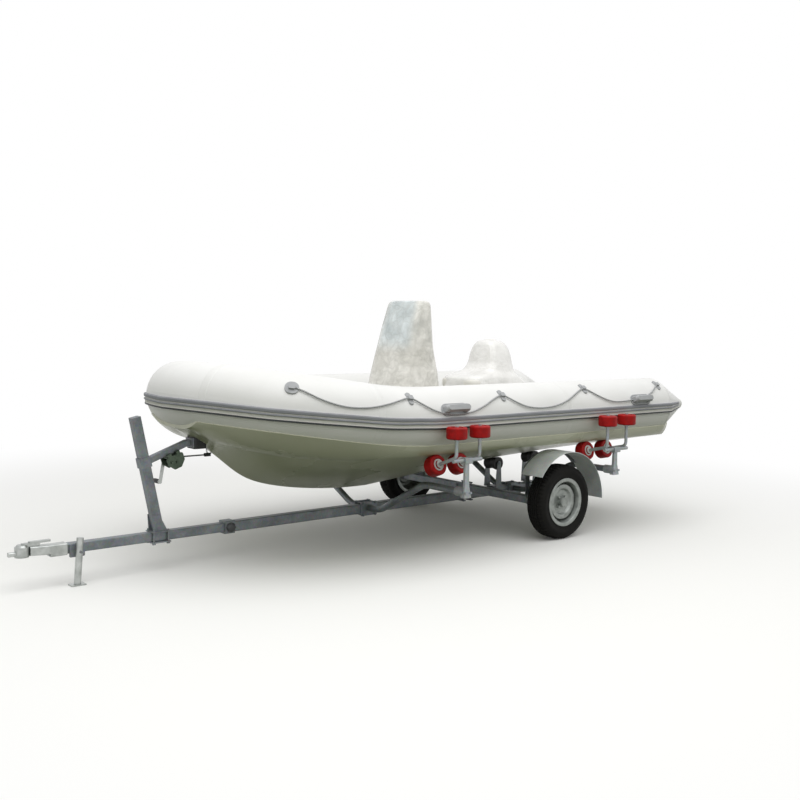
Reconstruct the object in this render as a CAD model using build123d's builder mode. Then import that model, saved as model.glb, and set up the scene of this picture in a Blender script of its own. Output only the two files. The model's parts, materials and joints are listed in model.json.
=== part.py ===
"""Inflatable boat with a moulded V hull, resting on a single-axle roller trailer.

+X is forward to the bow and the coupling, +Y is port, +Z is up, in millimetres.
The origin is on the ground, under the middle of the whole length.
Lengths in the tables are measured from the axle and shifted by AXLE_X.
"""

import math
import os
from build123d import *

os.makedirs("parts", exist_ok=True)

AXLE_X = -1055.0

# Tubes: straight sides, a slow upward bend, then a half ring tilted up as the bow
TUBE_R = 230.0
TUBE_Y = 770.0
TUBE_Z = 946.0
TUBE_AFT = -1220.0
BEND_X = 1230.0
BEND_R = 4070.0
BEND_DEG = 8.4
CONE_LEN = 458.0
CONE_TIP_R = 48.0
STRAKE_BASE = 9.0
STRAKE_RIB = 17.0
STRAKE_TALL = 76.0
STRAKE_CONE = 300.0
SEAM_TURN = -40.0
SEAM_LIP = 6.0

# Hull, deck and transom
HULL_WALL = 14.0
DECK_Z = 800.0
DECK_T = 14.0
DECK_HALF = 660.0
TRANSOM_X = -1280.0
TRANSOM_T = 46.0
TRANSOM_TOP = 1000.0
TRANSOM_HALF = 640.0
PAD_HALF = 190.0
PAD_LOW = 815.0
PAD_TOP = 992.0
PAD_T = 10.0

# Wheels, 165/70 R13
HUB_Z = 280.5
TYRE_R = 280.5
WHEEL_Y = 880.0

# Trailer frame
SPINE = 70.0
SPINE_WALL = 4.0
SPINE_Z = 219.0
SPINE_AFT = -720.0
SPINE_FRONT = 2375.0
BAR = 60.0
BAR_FRONT = 3560.0
ARM_D = 48.0
ARM_Z0 = 224.0
ARM_END = 1040.0
AXLE_BEAM = 60.0
AXLE_AHEAD = 150.0
AXLE_Z = SPINE_Z + SPINE / 2 + AXLE_BEAM / 2

# Roller cradles
BAR_Y = 1082.0
BAR_R = 13.0
ROLLER_R = 71.0
ROLLER_W = 82.0
ROLLER_BORE = 12.0
ROLLER_PRESS = 1.0
HIGH_R = 70.0
HIGH_W = 80.0
HIGH_GAP = 2.0
HIGH_Z = 890.0
HIGH_Y = TUBE_Y + TUBE_R + STRAKE_RIB + HIGH_GAP + HIGH_R
LOW_REACH = 858.0

# Prop leg on the port side of the drawbar
PROP_X = 3400.0
PROP_Y = 68.0
PROP_Z = 204.0
PROP_R = 21.0

ROPE_D = 11.0
ROPE_OFF = 7.0


def across(origin, way):
    """Upright plane along the trailer, facing port where way is positive."""
    return Plane(origin=origin, x_dir=(1, 0, 0), z_dir=(0, way, 0))


def endways(origin):
    """Upright plane across the trailer, facing forward."""
    return Plane(origin=origin, x_dir=(0, 1, 0), z_dir=(1, 0, 0))


def lx(x):
    """Length measured from the axle, in the shared frame."""
    return x + AXLE_X


BETA = math.radians(BEND_DEG)
TUBE_START = lx(TUBE_AFT)
STRAIGHT = BEND_X - TUBE_AFT
RISE = BEND_R * BETA
BOW_X = lx(BEND_X) + BEND_R * math.sin(BETA)
BOW_Z = TUBE_Z + BEND_R * (1 - math.cos(BETA))
BOW_FWD = Vector(math.cos(BETA), 0, math.sin(BETA))
BOW_UP = Vector(-math.sin(BETA), 0, math.cos(BETA))


def tube_frame(s, side):
    """Centre, outward and upward directions of a tube at length s from its aft end."""
    if s <= STRAIGHT:
        return Vector(TUBE_START + s, side * TUBE_Y, TUBE_Z), Vector(0, side, 0), Vector(0, 0, 1)
    if s <= STRAIGHT + RISE:
        a = (s - STRAIGHT) / BEND_R
        x = lx(BEND_X) + BEND_R * math.sin(a)
        z = TUBE_Z + BEND_R * (1 - math.cos(a))
        return Vector(x, side * TUBE_Y, z), Vector(0, side, 0), Vector(-math.sin(a), 0, math.cos(a))
    t = (s - STRAIGHT - RISE) / TUBE_Y
    out = BOW_FWD * math.sin(t) + Vector(0, side, 0) * math.cos(t)
    return Vector(BOW_X, 0, BOW_Z) + out * TUBE_Y, out, BOW_UP


def tube_radius(s):
    """Radius of a tube at length s, shrinking over the stern cone where s is below zero."""
    return TUBE_R + min(s, 0) * (TUBE_R - CONE_TIP_R) / (CONE_LEN - CONE_TIP_R)


def on_tube(s, turn, lift, side):
    """Point on the skin of a tube, turned up from its equator and lifted off the skin."""
    centre, out, up = tube_frame(s, side)
    a = math.radians(turn)
    return centre + (out * math.cos(a) + up * math.sin(a)) * (tube_radius(s) + lift)


def tube_plane(s, turn, side):
    """Plane lying on the skin of a tube, its z pointing straight out of the skin."""
    centre, out, up = tube_frame(s, side)
    a = math.radians(turn)
    normal = out * math.cos(a) + up * math.sin(a)
    along = out.cross(up) * -side
    return Plane(origin=centre + normal * TUBE_R, x_dir=along, z_dir=normal)


def side_section(side):
    """Plane across a side tube at its aft end, x outboard and y up."""
    return Plane(origin=(TUBE_START, side * TUBE_Y, TUBE_Z), x_dir=(0, side, 0), z_dir=(side, 0, 0))


def bow_section():
    """Plane across the bow tube where it leaves the port side, x outboard and y up."""
    return Plane(origin=(BOW_X, TUBE_Y, BOW_Z), x_dir=(0, 1, 0), z_dir=tuple(BOW_FWD))


def bend_section(side):
    """Plane across a side tube where the upward bend starts, x outboard and y up."""
    return Plane(origin=(lx(BEND_X), side * TUBE_Y, TUBE_Z), x_dir=(0, side, 0), z_dir=(side, 0, 0))


BEND_AXIS = Axis((lx(BEND_X), 0, TUBE_Z + BEND_R), (0, -1, 0))
BOW_AXIS = Axis((BOW_X, 0, BOW_Z), tuple(BOW_UP * -1))


def write(part, name):
    """Label a part and write its file."""
    part.label = name
    export_step(part, f"parts/{name}.step")


# Inflated tubes
SIDES = [("port", 1), ("starboard", -1)]
tubes = {}
for word, side in SIDES:
    with BuildPart() as tube:
        with BuildSketch(side_section(side)):
            Circle(TUBE_R)
        extrude(amount=side * STRAIGHT)
        with BuildSketch(bend_section(side)):
            Circle(TUBE_R)
        revolve(axis=BEND_AXIS, revolution_arc=BEND_DEG)
    tubes[word] = tube.part
    write(tube.part, f"tube_{word}")

with BuildPart() as bow_tube:
    with BuildSketch(bow_section()):
        Circle(TUBE_R)
    revolve(axis=BOW_AXIS, revolution_arc=180)
tubes["bow"] = bow_tube.part
write(bow_tube.part, "tube_bow")

for word, side in SIDES:
    with BuildPart() as cone:
        stern = (TUBE_START, side * TUBE_Y, TUBE_Z)
        with BuildSketch(Plane(origin=stern, x_dir=(-1, 0, 0), z_dir=(0, -1, 0))):
            with BuildLine():
                Line((0, 0), (0, TUBE_R))
                Line((0, TUBE_R), (CONE_LEN - CONE_TIP_R, CONE_TIP_R))
                RadiusArc((CONE_LEN - CONE_TIP_R, CONE_TIP_R), (CONE_LEN, 0), CONE_TIP_R)
                Line((CONE_LEN, 0), (0, 0))
            make_face()
        revolve(axis=Axis((TUBE_START, side * TUBE_Y, TUBE_Z), (1, 0, 0)))
    tubes[f"cone_{word}"] = cone.part
    write(cone.part, f"stern_cone_{word}")


# Rub strake profile: distance off the skin and share of its height from the middle
STRAKE_EDGE = [
    # off, share
    (STRAKE_BASE + 2, 0.50), (STRAKE_RIB - 2, 0.42), (STRAKE_RIB - 2, 0.22), (STRAKE_BASE, 0.17),
    (STRAKE_BASE, 0.10), (STRAKE_RIB, 0.05), (STRAKE_RIB, -0.05), (STRAKE_BASE + 2, -0.10),
    (STRAKE_BASE + 2, -0.32), (STRAKE_RIB - 2, -0.37), (STRAKE_RIB - 4, -0.50),
]
STRAKE_BURY = 16.0
# The strake leaves the equator over the bend and hangs lower round the bow
STRAKE_DROP = [
    # s past the straight, turn
    (300, 0.0),
    (700, -4.5),
    (1160, -11.0),
    (1808, -15.0),
]
HALF_BOW = TUBE_Y * math.pi / 2


def strake_turn(s):
    """Turn of the strake below the equator at length s, straight between table rows."""
    past = s - STRAIGHT
    if past <= STRAKE_DROP[0][0]:
        return STRAKE_DROP[0][1]
    for (s0, turn0), (s1, turn1) in zip(STRAKE_DROP, STRAKE_DROP[1:]):
        if past <= s1:
            return turn0 + (turn1 - turn0) * (past - s0) / (s1 - s0)
    return STRAKE_DROP[-1][1]


def strake_section(s, side, scale):
    """Plane and outline of the strake at length s, x out of the skin and y up it."""
    centre, out, up = tube_frame(s, side)
    a = math.radians(strake_turn(s))
    normal = out * math.cos(a) + up * math.sin(a)
    frame = Plane(origin=centre + normal * tube_radius(s), x_dir=normal, z_dir=out.cross(up))
    rise = 1 if frame.y_dir.Z > 0 else -1
    edge = [(off * scale, rise * share * scale * STRAKE_TALL) for off, share in STRAKE_EDGE]
    return frame, [(-STRAKE_BURY, edge[0][1]), *edge, (-STRAKE_BURY, edge[-1][1])]


def strake_loft(rows, straight):
    """Strake through rows of length, side and scale."""
    with BuildPart() as strip:
        for s, side, scale in rows:
            frame, outline = strake_section(s, side, scale)
            with BuildSketch(frame):
                with BuildLine():
                    Polyline(*outline, close=True)
                make_face()
        loft(ruled=straight)
    return strip.part


for word, side in SIDES:
    steps = [STRAIGHT, STRAIGHT + 150, STRAIGHT + 300, STRAIGHT + 450, STRAIGHT + RISE]
    with BuildPart() as strake:
        add(strake_loft([(-STRAKE_CONE, side, 0.7), (0, side, 1), *[(s, side, 1) for s in steps]], True))
        add(tubes[word], mode=Mode.SUBTRACT)
        add(tubes[f"cone_{word}"], mode=Mode.SUBTRACT)
    write(strake.part, f"rub_strake_{word}")

BOW_STEPS = 6
quarter = [(STRAIGHT + RISE + HALF_BOW * i / BOW_STEPS) for i in range(BOW_STEPS + 1)]
bow_rows = [(s, 1, 1) for s in quarter] + [(s, -1, 1) for s in quarter[-2::-1]]
with BuildPart() as bow_strake:
    add(strake_loft(bow_rows, False))
    add(tubes["bow"], mode=Mode.SUBTRACT)
write(bow_strake.part, "rub_strake_bow")

# Hull stations: x from the axle, keel height and chine; the seam above it lies on the tube
HULL = [
    # x, keel_z, chine_y, chine_z
    (-1280, 536, 880, 712),
    (-1220, 534, 882, 712),
    (-780, 522, 896, 714),
    (-190, 497, 900, 717),
    (500, 449, 900, 722),
    (1160, 390, 900, 728),
    (1500, 399, 872, 724),
    (1840, 438, 765, 716),
    (2104, 498, 610, 726),
    (2278, 582, 470, 747),
    (2416, 690, 345, 778),
    (2530, 782, 235, 812),
    (2640, 856, 130, 866),
    (2740, 910, 50, 915),
]
SIDE_BULGE = 0.09


def seam(x, lift):
    """Point where the hull side meets the tube at a length x, lifted off the skin."""
    low, high = -CONE_LEN / 2, STRAIGHT + RISE + HALF_BOW
    for _ in range(40):
        s = (low + high) / 2
        if on_tube(s, SEAM_TURN, lift, 1).X < x:
            low = s
        else:
            high = s
    return on_tube(low, SEAM_TURN, lift, 1)


def hull_row(x):
    """Keel height and chine at a length x, straight between the stations."""
    for a, b in zip(HULL, HULL[1:]):
        if a[0] <= x <= b[0]:
            k = (x - a[0]) / (b[0] - a[0])
            return [p + (q - p) * k for p, q in zip(a[1:], b[1:])]
    raise ValueError(x)


RUN_END = 1160
BOW_FAIR = -190


def hull_part(rows, inset, straight):
    """Loft through some hull stations, pulled in by a wall thickness."""
    with BuildPart() as shell:
        for x, keel_z, chine_y, chine_z in rows:
            shift = inset if x == HULL[0][0] else (-inset if x == HULL[-1][0] else 0)
            keel = keel_z + 1.15 * inset
            chine = Vector(max(chine_y - 0.4 * inset, 20), chine_z + inset)
            edge3 = seam(lx(x), SEAM_LIP - inset)
            deep3 = seam(lx(x), -30)
            edge = Vector(edge3.Y, edge3.Z)
            deep = Vector(deep3.Y, deep3.Z + 2 * inset)
            chord = edge - chine
            mid = (edge + chine) * 0.5 + Vector(chord.Y, -chord.X) * SIDE_BULGE
            with BuildSketch(endways((lx(x) + shift, 0, 0))):
                with BuildLine():
                    Line((0, keel), (chine.X, chine.Y))
                    ThreePointArc((chine.X, chine.Y), (mid.X, mid.Y), (edge.X, edge.Y))
                    Polyline((edge.X, edge.Y), (deep.X, deep.Y), (-deep.X, deep.Y), (-edge.X, edge.Y))
                    ThreePointArc((-edge.X, edge.Y), (-mid.X, mid.Y), (-chine.X, chine.Y))
                    Line((-chine.X, chine.Y), (0, keel))
                make_face()
        loft(ruled=straight)
    return shell.part


def hull_loft(inset):
    """Straight run aft joined to a smooth bow."""
    with BuildPart() as whole:
        add(hull_part([row for row in HULL if row[0] <= RUN_END], inset, True))
        with BuildPart(mode=Mode.PRIVATE) as bow:
            add(hull_part([row for row in HULL if row[0] >= BOW_FAIR], inset, False))
            split(bisect_by=Plane(origin=(lx(RUN_END), 0, 0), z_dir=(1, 0, 0)), keep=Keep.TOP)
        add(bow.part)
    return whole.part


with BuildPart() as hull:
    add(hull_loft(0))
    add(hull_loft(HULL_WALL), mode=Mode.SUBTRACT)
    for skin in tubes.values():
        add(skin, mode=Mode.SUBTRACT)
    with Locations((lx(TRANSOM_X), 0, DECK_Z - DECK_T + 100)):
        Box(4 * TRANSOM_T, 2 * DECK_HALF, 200, mode=Mode.SUBTRACT)
hull_main = hull.part.solids().sort_by(SortBy.VOLUME)[-1]
write(Part(hull_main.wrapped), "hull")

DECK_FRONT = 2060.0
with BuildPart() as deck:
    with BuildSketch(Plane.XY.offset(DECK_Z - DECK_T)):
        with BuildLine():
            Polyline(
                (lx(TRANSOM_X), -DECK_HALF), (lx(BEND_X + 500), -DECK_HALF), (lx(DECK_FRONT), -560),
                (lx(DECK_FRONT + 330), -200), (lx(DECK_FRONT + 330), 200), (lx(DECK_FRONT), 560),
                (lx(BEND_X + 500), DECK_HALF), (lx(TRANSOM_X), DECK_HALF), close=True,
            )
        make_face()
    extrude(amount=DECK_T)
    for skin in tubes.values():
        add(skin, mode=Mode.SUBTRACT)
deck_top = deck.part.solids().sort_by(SortBy.VOLUME)[-1]
write(Part(deck_top.wrapped), "deck")

with BuildPart() as transom:
    with BuildSketch(endways((lx(TRANSOM_X), 0, 0))):
        with BuildLine():
            Polyline(
                (-TRANSOM_HALF, DECK_Z), (TRANSOM_HALF, DECK_Z), (TRANSOM_HALF, TRANSOM_TOP + 40),
                (300, TRANSOM_TOP + 40), (230, TRANSOM_TOP), (-230, TRANSOM_TOP), (-300, TRANSOM_TOP + 40),
                (-TRANSOM_HALF, TRANSOM_TOP + 40), close=True,
            )
        make_face()
    extrude(amount=TRANSOM_T)
    pad = (lx(TRANSOM_X), 0, (PAD_LOW + PAD_TOP) / 2)
    with BuildSketch(Plane(origin=pad, x_dir=(0, 1, 0), z_dir=(-1, 0, 0))):
        RectangleRounded(2 * PAD_HALF, PAD_TOP - PAD_LOW, 18)
    extrude(amount=PAD_T)
    for skin in tubes.values():
        add(skin, mode=Mode.SUBTRACT)
write(transom.part, "transom")


# Towing eyes: one ring under the stem, a ring on a round plate at each side of the stern
EYE_R = 22.0
EYE_ROD = 5.0
BOW_EYE_X = 2480.0
BOW_EYE_Z = 744.5
STERN_EYE_Y = 420.0
STERN_EYE_Z = 900.0
EYES = [
    # x, y, z
    (BOW_EYE_X, 0, BOW_EYE_Z),
    (TRANSOM_X, STERN_EYE_Y, STERN_EYE_Z),
    (TRANSOM_X, -STERN_EYE_Y, STERN_EYE_Z),
]
with BuildPart() as eyes:
    for x, y, z in EYES:
        with BuildSketch(Plane(origin=(lx(x) + EYE_R, y, z), x_dir=(1, 0, 0), z_dir=(0, 0, 1))):
            Circle(EYE_ROD)
        revolve(axis=Axis((lx(x), y, z), (0, 1, 0)))
    for y in (STERN_EYE_Y, -STERN_EYE_Y):
        with BuildSketch(Plane(origin=(lx(TRANSOM_X), y, STERN_EYE_Z), x_dir=(0, 1, 0), z_dir=(-1, 0, 0))):
            Circle(EYE_R + 12)
        extrude(amount=6)
    add(hull_loft(0), mode=Mode.SUBTRACT)
    add(transom.part, mode=Mode.SUBTRACT)
write(eyes.part, "towing_eyes")

# Lifeline fittings: length along the tube and turn above its equator
HOLDERS = [
    # s, turn, long, tall
    (88, 51, 44, 100),
    (1017, 51, 44, 100),
    (1920, 44, 44, 100),
    (2786, 43, 44, 100),
    (3525, 35, 92, 92),
]
HANDLES = [
    # s, turn
    (395, 20),
    (2412, 22.5),
]
# Lifeline: rows of length along the tube and turn above its equator
ROPE = [
    # s, turn
    (88, 52), (150, 42), (250, 29.5), (370, 23), (510, 19.5), (650, 17.5), (780, 19.5), (910, 32), (1017, 52),
    (1140, 39.5), (1280, 24.5), (1430, 16.5), (1585, 15), (1730, 19), (1840, 31.5), (1920, 45),
    (2020, 37), (2140, 24), (2280, 14.6), (2430, 13), (2580, 18.5), (2695, 31), (2786, 44),
    (2890, 36), (3000, 27), (3130, 17), (3260, 13.2), (3380, 20), (3460, 30), (3540, 37),
]


def fillet_radii(points, share):
    """Largest tangent radius at each corner that uses a share of the shorter run beside it."""
    radii = []
    for before, here, after in zip(points, points[1:], points[2:]):
        run = min((here - before).length, (after - here).length)
        turn = math.radians((here - before).get_angle(after - here))
        radii.append(share * run / math.tan(turn / 2))
    return radii


ropes = {}
for word, side in SIDES:
    points = [on_tube(s, turn, ROPE_D / 2 + ROPE_OFF, side) for s, turn in ROPE]
    radii = fillet_radii(points, 0.45)
    print(f"lifeline {word} radii", [round(r) for r in radii])
    with BuildPart() as rope:
        with BuildLine() as run:
            FilletPolyline(*points, radius=radii)
        with BuildSketch(Plane(origin=run.line @ 0, z_dir=run.line % 0)):
            Circle(ROPE_D / 2)
        sweep()
    print(f"lifeline {word} length", round(sum(edge.length for edge in run.edges())))
    ropes[word] = rope.part
    write(rope.part, f"lifeline_{word}")

HOLDER_SINK = 7.0
HOLDER_PAD = 6.0
HOLDER_BOSS = 21.0
with BuildPart() as holders:
    for word, side in SIDES:
        for s, turn, long, tall in HOLDERS:
            with BuildSketch(tube_plane(s, turn, side).offset(-HOLDER_SINK)):
                RectangleRounded(long, tall, min(long, tall) * 0.45)
            with BuildSketch(tube_plane(s, turn, side).offset(HOLDER_PAD)):
                RectangleRounded(long - 6, tall - 6, min(long, tall) * 0.45 - 3)
            loft(ruled=True)
            with BuildSketch(tube_plane(s, turn, side)):
                RectangleRounded(40, 32, 8)
            extrude(amount=HOLDER_BOSS)
        add(tubes[word], mode=Mode.SUBTRACT)
        add(ropes[word], mode=Mode.SUBTRACT)
    add(tubes["bow"], mode=Mode.SUBTRACT)
write(holders.part, "rope_holders")

# Grab handles: a pad on the skin, two feet and a crowned grip with room for fingers under it
HANDLE_LONG = 240.0
HANDLE_TALL = 84.0
HANDLE_PAD = 8.0
HANDLE_ROOM = 34.0
HANDLE_GRIP = 20.0
HANDLE_SINK = 14.0
with BuildPart() as handles:
    for word, side in SIDES:
        for s, turn in HANDLES:
            base = tube_plane(s, turn, side)
            with BuildSketch(base.offset(-HANDLE_SINK)):
                RectangleRounded(HANDLE_LONG, HANDLE_TALL, HANDLE_TALL * 0.48)
            extrude(amount=HANDLE_SINK + HANDLE_PAD)
            with BuildSketch(base.offset(HANDLE_PAD)):
                with Locations((-84, 0), (84, 0)):
                    RectangleRounded(42, 50, 12)
            extrude(amount=HANDLE_ROOM)
            with BuildSketch(base.offset(HANDLE_PAD + HANDLE_ROOM)):
                RectangleRounded(HANDLE_LONG - 24, 54, 26)
            with BuildSketch(base.offset(HANDLE_PAD + HANDLE_ROOM + HANDLE_GRIP)):
                RectangleRounded(HANDLE_LONG - 46, 34, 16)
            loft(ruled=True)
        add(tubes[word], mode=Mode.SUBTRACT)
        add(ropes[word], mode=Mode.SUBTRACT)
write(handles.part, "grab_handles")

# Console: heights and plan outline of each level
CONSOLE = [
    # z, x_aft, x_fore, half_width
    (DECK_Z, 640, 1010, 236),
    (1120, 662, 978, 226),
    (1430, 730, 900, 208),
]
SCREEN = [
    # z, x_aft, x_fore, half_width
    (1430, 846, 890, 200),
    (1767.7, 756, 780, 170),
]
CONSOLE_FILM = [
    # z, x_aft, x_fore, half_width
    (1040, 590, 1030, 254),
    (1200, 604, 996, 243),
    (1430, 660, 914, 222),
    (1740, 682, 822, 194),
    (1770, 700, 804, 172),
]


def tower(levels, inset, lift):
    """Ruled loft with rounded corners through a table of levels."""
    with BuildPart() as body:
        for i, (z, x_aft, x_fore, half) in enumerate(levels):
            up = lift if i == len(levels) - 1 else 0
            with BuildSketch(Plane(origin=(lx((x_aft + x_fore) / 2), 0, z + up))):
                long = x_fore - x_aft - 2 * inset
                wide = 2 * (half - inset)
                RectangleRounded(long, wide, min(long, wide) * 0.24)
        loft(ruled=True)
    return body.part


WALL = 6.0
with BuildPart() as console:
    add(tower(CONSOLE, 0, 0))
    add(tower(CONSOLE, WALL, -WALL), mode=Mode.SUBTRACT)
write(console.part, "console")

with BuildPart() as screen:
    add(tower(SCREEN, 0, 0))
    inside = [(z, x_aft - 10, x_fore - 7, half - 8) for z, x_aft, x_fore, half in SCREEN]
    add(tower(inside, 0, 0), mode=Mode.SUBTRACT)
write(screen.part, "windscreen")

WHEEL_PLANE = Plane(origin=(lx(672), 0, 1350), x_dir=(0, 1, 0), z_dir=(-0.97, 0, 0.24))
with BuildPart() as steering:
    rim_start = WHEEL_PLANE.origin + WHEEL_PLANE.x_dir * 150
    with BuildSketch(Plane(origin=rim_start, x_dir=WHEEL_PLANE.x_dir, z_dir=WHEEL_PLANE.y_dir)):
        Circle(12)
    revolve(axis=Axis(WHEEL_PLANE.origin, WHEEL_PLANE.z_dir))
    with BuildSketch(WHEEL_PLANE.offset(-8)):
        Circle(34)
        for turn in (0, 120, 240):
            with Locations(Rot(0, 0, turn) * Pos(72, 0, 0)):
                Rectangle(144, 22)
    extrude(amount=12)
    with BuildSketch(WHEEL_PLANE.offset(-6)):
        Circle(18)
    extrude(amount=-90)
    add(console.part, mode=Mode.SUBTRACT)
    add(tower(CONSOLE, WALL, -WALL), mode=Mode.SUBTRACT)
write(steering.part, "steering_wheel")

FILM = 2.0
with BuildPart() as film:
    add(tower(CONSOLE_FILM, 0, 0))
    inside = [(CONSOLE_FILM[0][0] - 1, *CONSOLE_FILM[0][1:]), *CONSOLE_FILM[1:]]
    add(tower(inside, FILM, -FILM), mode=Mode.SUBTRACT)
write(film.part, "console_film")

# Seat: moulded pod, cushion and backrest
SEAT_POD = [
    # z, x_aft, x_fore, half_width
    (DECK_Z, -430, 270, 196),
    (1090, -440, 260, 206),
]
with BuildPart() as pod:
    add(tower(SEAT_POD, 0, 0))
    add(tower(SEAT_POD, WALL, -WALL), mode=Mode.SUBTRACT)
write(pod.part, "seat_pod")

with BuildPart() as cushion:
    with BuildSketch(Plane(origin=(lx(115), 0, 1090))):
        RectangleRounded(300, 400, 90)
    extrude(amount=80)
    fillet(cushion.edges().group_by(Axis.Z)[-1], radius=25)
write(cushion.part, "seat_cushion")

BACK_HALF = 112.0
BACK_SHOULDER = 230.0
BACK_TALL = 386.0
BACK_DEEP = 110.0
BACK_LEAN = 0.14
with BuildPart() as back:
    with BuildSketch(Plane(origin=(lx(-92), 0, 1090), x_dir=(0, -1, 0), z_dir=(-1, 0, BACK_LEAN))):
        with BuildLine():
            Polyline((-BACK_HALF, BACK_SHOULDER), (-BACK_HALF, 0), (BACK_HALF, 0), (BACK_HALF, BACK_SHOULDER))
            ThreePointArc((BACK_HALF, BACK_SHOULDER), (0, BACK_TALL), (-BACK_HALF, BACK_SHOULDER))
        make_face()
    extrude(amount=BACK_DEEP)
    with Locations((lx(-150), 0, 990)):
        Box(700, 700, 200, mode=Mode.SUBTRACT)
write(back.part, "seat_backrest")

BACK_TOP = back.part.bounding_box().max.Z
SEAT_FILM = [
    # z, x_aft, x_fore, half_width
    (1000, -452, 274, 222),
    (1110, -448, 274, 220),
    (1180, -330, 270, 214),
    (1240, -250, 0, 160),
    (1330, -236, -2, 142),
    (1420, -214, -10, 118),
    (1460, -202, -14, 92),
    (BACK_TOP + 2.4, -188, -24, 56),
]
with BuildPart() as seat_film:
    add(tower(SEAT_FILM, 0, 0))
    add(tower([(SEAT_FILM[0][0] - 1, *SEAT_FILM[0][1:]), *SEAT_FILM[1:]], FILM, -FILM), mode=Mode.SUBTRACT)
write(seat_film.part, "seat_film")

# Spine, drawbar and coupling
with BuildPart() as spine:
    with BuildSketch(endways((lx(SPINE_AFT), 0, SPINE_Z))):
        RectangleRounded(SPINE, SPINE, 8)
        RectangleRounded(SPINE - 2 * SPINE_WALL, SPINE - 2 * SPINE_WALL, 4, mode=Mode.SUBTRACT)
    extrude(amount=SPINE_FRONT - SPINE_AFT)
write(spine.part, "spine")

with BuildPart() as drawbar:
    with BuildSketch(endways((lx(SPINE_FRONT - 260), 0, SPINE_Z))):
        RectangleRounded(BAR, BAR, 7)
        RectangleRounded(BAR - 8, BAR - 8, 3, mode=Mode.SUBTRACT)
    extrude(amount=BAR_FRONT - SPINE_FRONT + 260)
write(drawbar.part, "drawbar")

# Clamp collars on the square tubes, the drawbar's one with a locking knob on each side
KNOB_R = 31.0
KNOB_T = 14.0
with BuildPart() as clamp:
    with BuildSketch(endways((lx(SPINE_FRONT - 66), 0, SPINE_Z))):
        RectangleRounded(SPINE + 16, SPINE + 16, 10)
        RectangleRounded(SPINE, SPINE, 8, mode=Mode.SUBTRACT)
    extrude(amount=66)
    with BuildSketch(endways((lx(SPINE_FRONT), 0, SPINE_Z))):
        RectangleRounded(SPINE + 16, SPINE + 16, 10)
        RectangleRounded(BAR, BAR, 7, mode=Mode.SUBTRACT)
    extrude(amount=8)
    for y, way in ((SPINE / 2 + 8, 1), (-SPINE / 2 - 8, -1)):
        with BuildSketch(across((lx(SPINE_FRONT - 33), y, SPINE_Z), way)):
            Circle(KNOB_R)
        extrude(amount=KNOB_T, taper=12)
        with BuildSketch(across((lx(SPINE_FRONT - 33), y + way * KNOB_T, SPINE_Z), way)):
            RegularPolygon(15, 6)
        extrude(amount=10)

BALL_X = 3720.0
BALL_R = 25.2
with BuildPart() as coupling:
    with BuildSketch(endways((lx(BAR_FRONT - 100), 0, SPINE_Z))):
        RectangleRounded(BAR + 12, BAR + 12, 8)
        RectangleRounded(BAR, BAR, 7, mode=Mode.SUBTRACT)
    extrude(amount=100)
    with BuildSketch(endways((lx(BAR_FRONT), 0, SPINE_Z + 8))):
        RectangleRounded(BAR + 12, BAR - 4, 8)
    with BuildSketch(endways((lx(BALL_X - 40), 0, SPINE_Z + 14))):
        RectangleRounded(BAR + 6, BAR - 6, 8)
    loft(ruled=True)
    with BuildSketch(Plane(origin=(lx(BALL_X), 0, SPINE_Z - 18))):
        Circle(42)
    extrude(amount=60)
    with BuildSketch(Plane(origin=(lx(BALL_X), 0, SPINE_Z + 42))):
        Circle(36)
    extrude(amount=12, taper=30)
    with BuildSketch(Plane(origin=(lx(BALL_X - 52), 0, SPINE_Z + 40))):
        Rectangle(104, 26)
    extrude(amount=22)
    with BuildSketch(Plane(origin=(lx(BALL_X - 104), 0, SPINE_Z + 56))):
        RectangleRounded(130, 30, 10)
    extrude(amount=12)
    with BuildSketch(Plane(origin=(lx(BALL_X), 0, SPINE_Z - 18))):
        Circle(BALL_R)
    extrude(amount=34, mode=Mode.SUBTRACT)
    with Locations((lx(BALL_X), 0, SPINE_Z + 14)):
        Sphere(BALL_R, mode=Mode.SUBTRACT)
    with BuildSketch(endways((lx(BALL_X + 38), 0, SPINE_Z + 4))):
        RectangleRounded(30, 26, 8)
    extrude(amount=42)
write(coupling.part, "coupling_head")

# Prop leg bracket and leg
with BuildPart() as bracket:
    with BuildSketch(across((lx(PROP_X), BAR / 2, PROP_Z), 1)):
        RectangleRounded(96, 76, 8)
    extrude(amount=8)
    with BuildSketch(across((lx(PROP_X), BAR / 2 + 8, PROP_Z), 1)):
        Circle(13)
    extrude(amount=PROP_Y - BAR / 2 - 8 - PROP_R - 0.5)
    with BuildSketch(across((lx(PROP_X), BAR / 2 + 8, PROP_Z), 1)):
        Circle(7.95)
    extrude(amount=PROP_Y + PROP_R + 12 - BAR / 2 - 8)
write(bracket.part, "prop_bracket")

PROP_LEAN = 4.0
PROP_PIN = Vector(lx(PROP_X), PROP_Y, PROP_Z)
PROP_UP = Vector(-math.sin(math.radians(PROP_LEAN)), 0, math.cos(math.radians(PROP_LEAN)))
with BuildPart() as prop:
    with BuildSketch(Plane(origin=PROP_PIN, x_dir=(0, 1, 0), z_dir=PROP_UP)):
        Circle(PROP_R)
    extrude(amount=84)
    with BuildSketch(Plane(origin=PROP_PIN, x_dir=(0, 1, 0), z_dir=-PROP_UP)):
        Circle(PROP_R)
    extrude(amount=197)
    with Locations((lx(PROP_X) + 14, PROP_Y, 4)):
        Box(90, 60, 8)
    with BuildSketch(across((lx(PROP_X), PROP_Y - 60, PROP_Z), 1)):
        Circle(8)
    extrude(amount=120, mode=Mode.SUBTRACT)
write(prop.part, "prop_leg")

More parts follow.
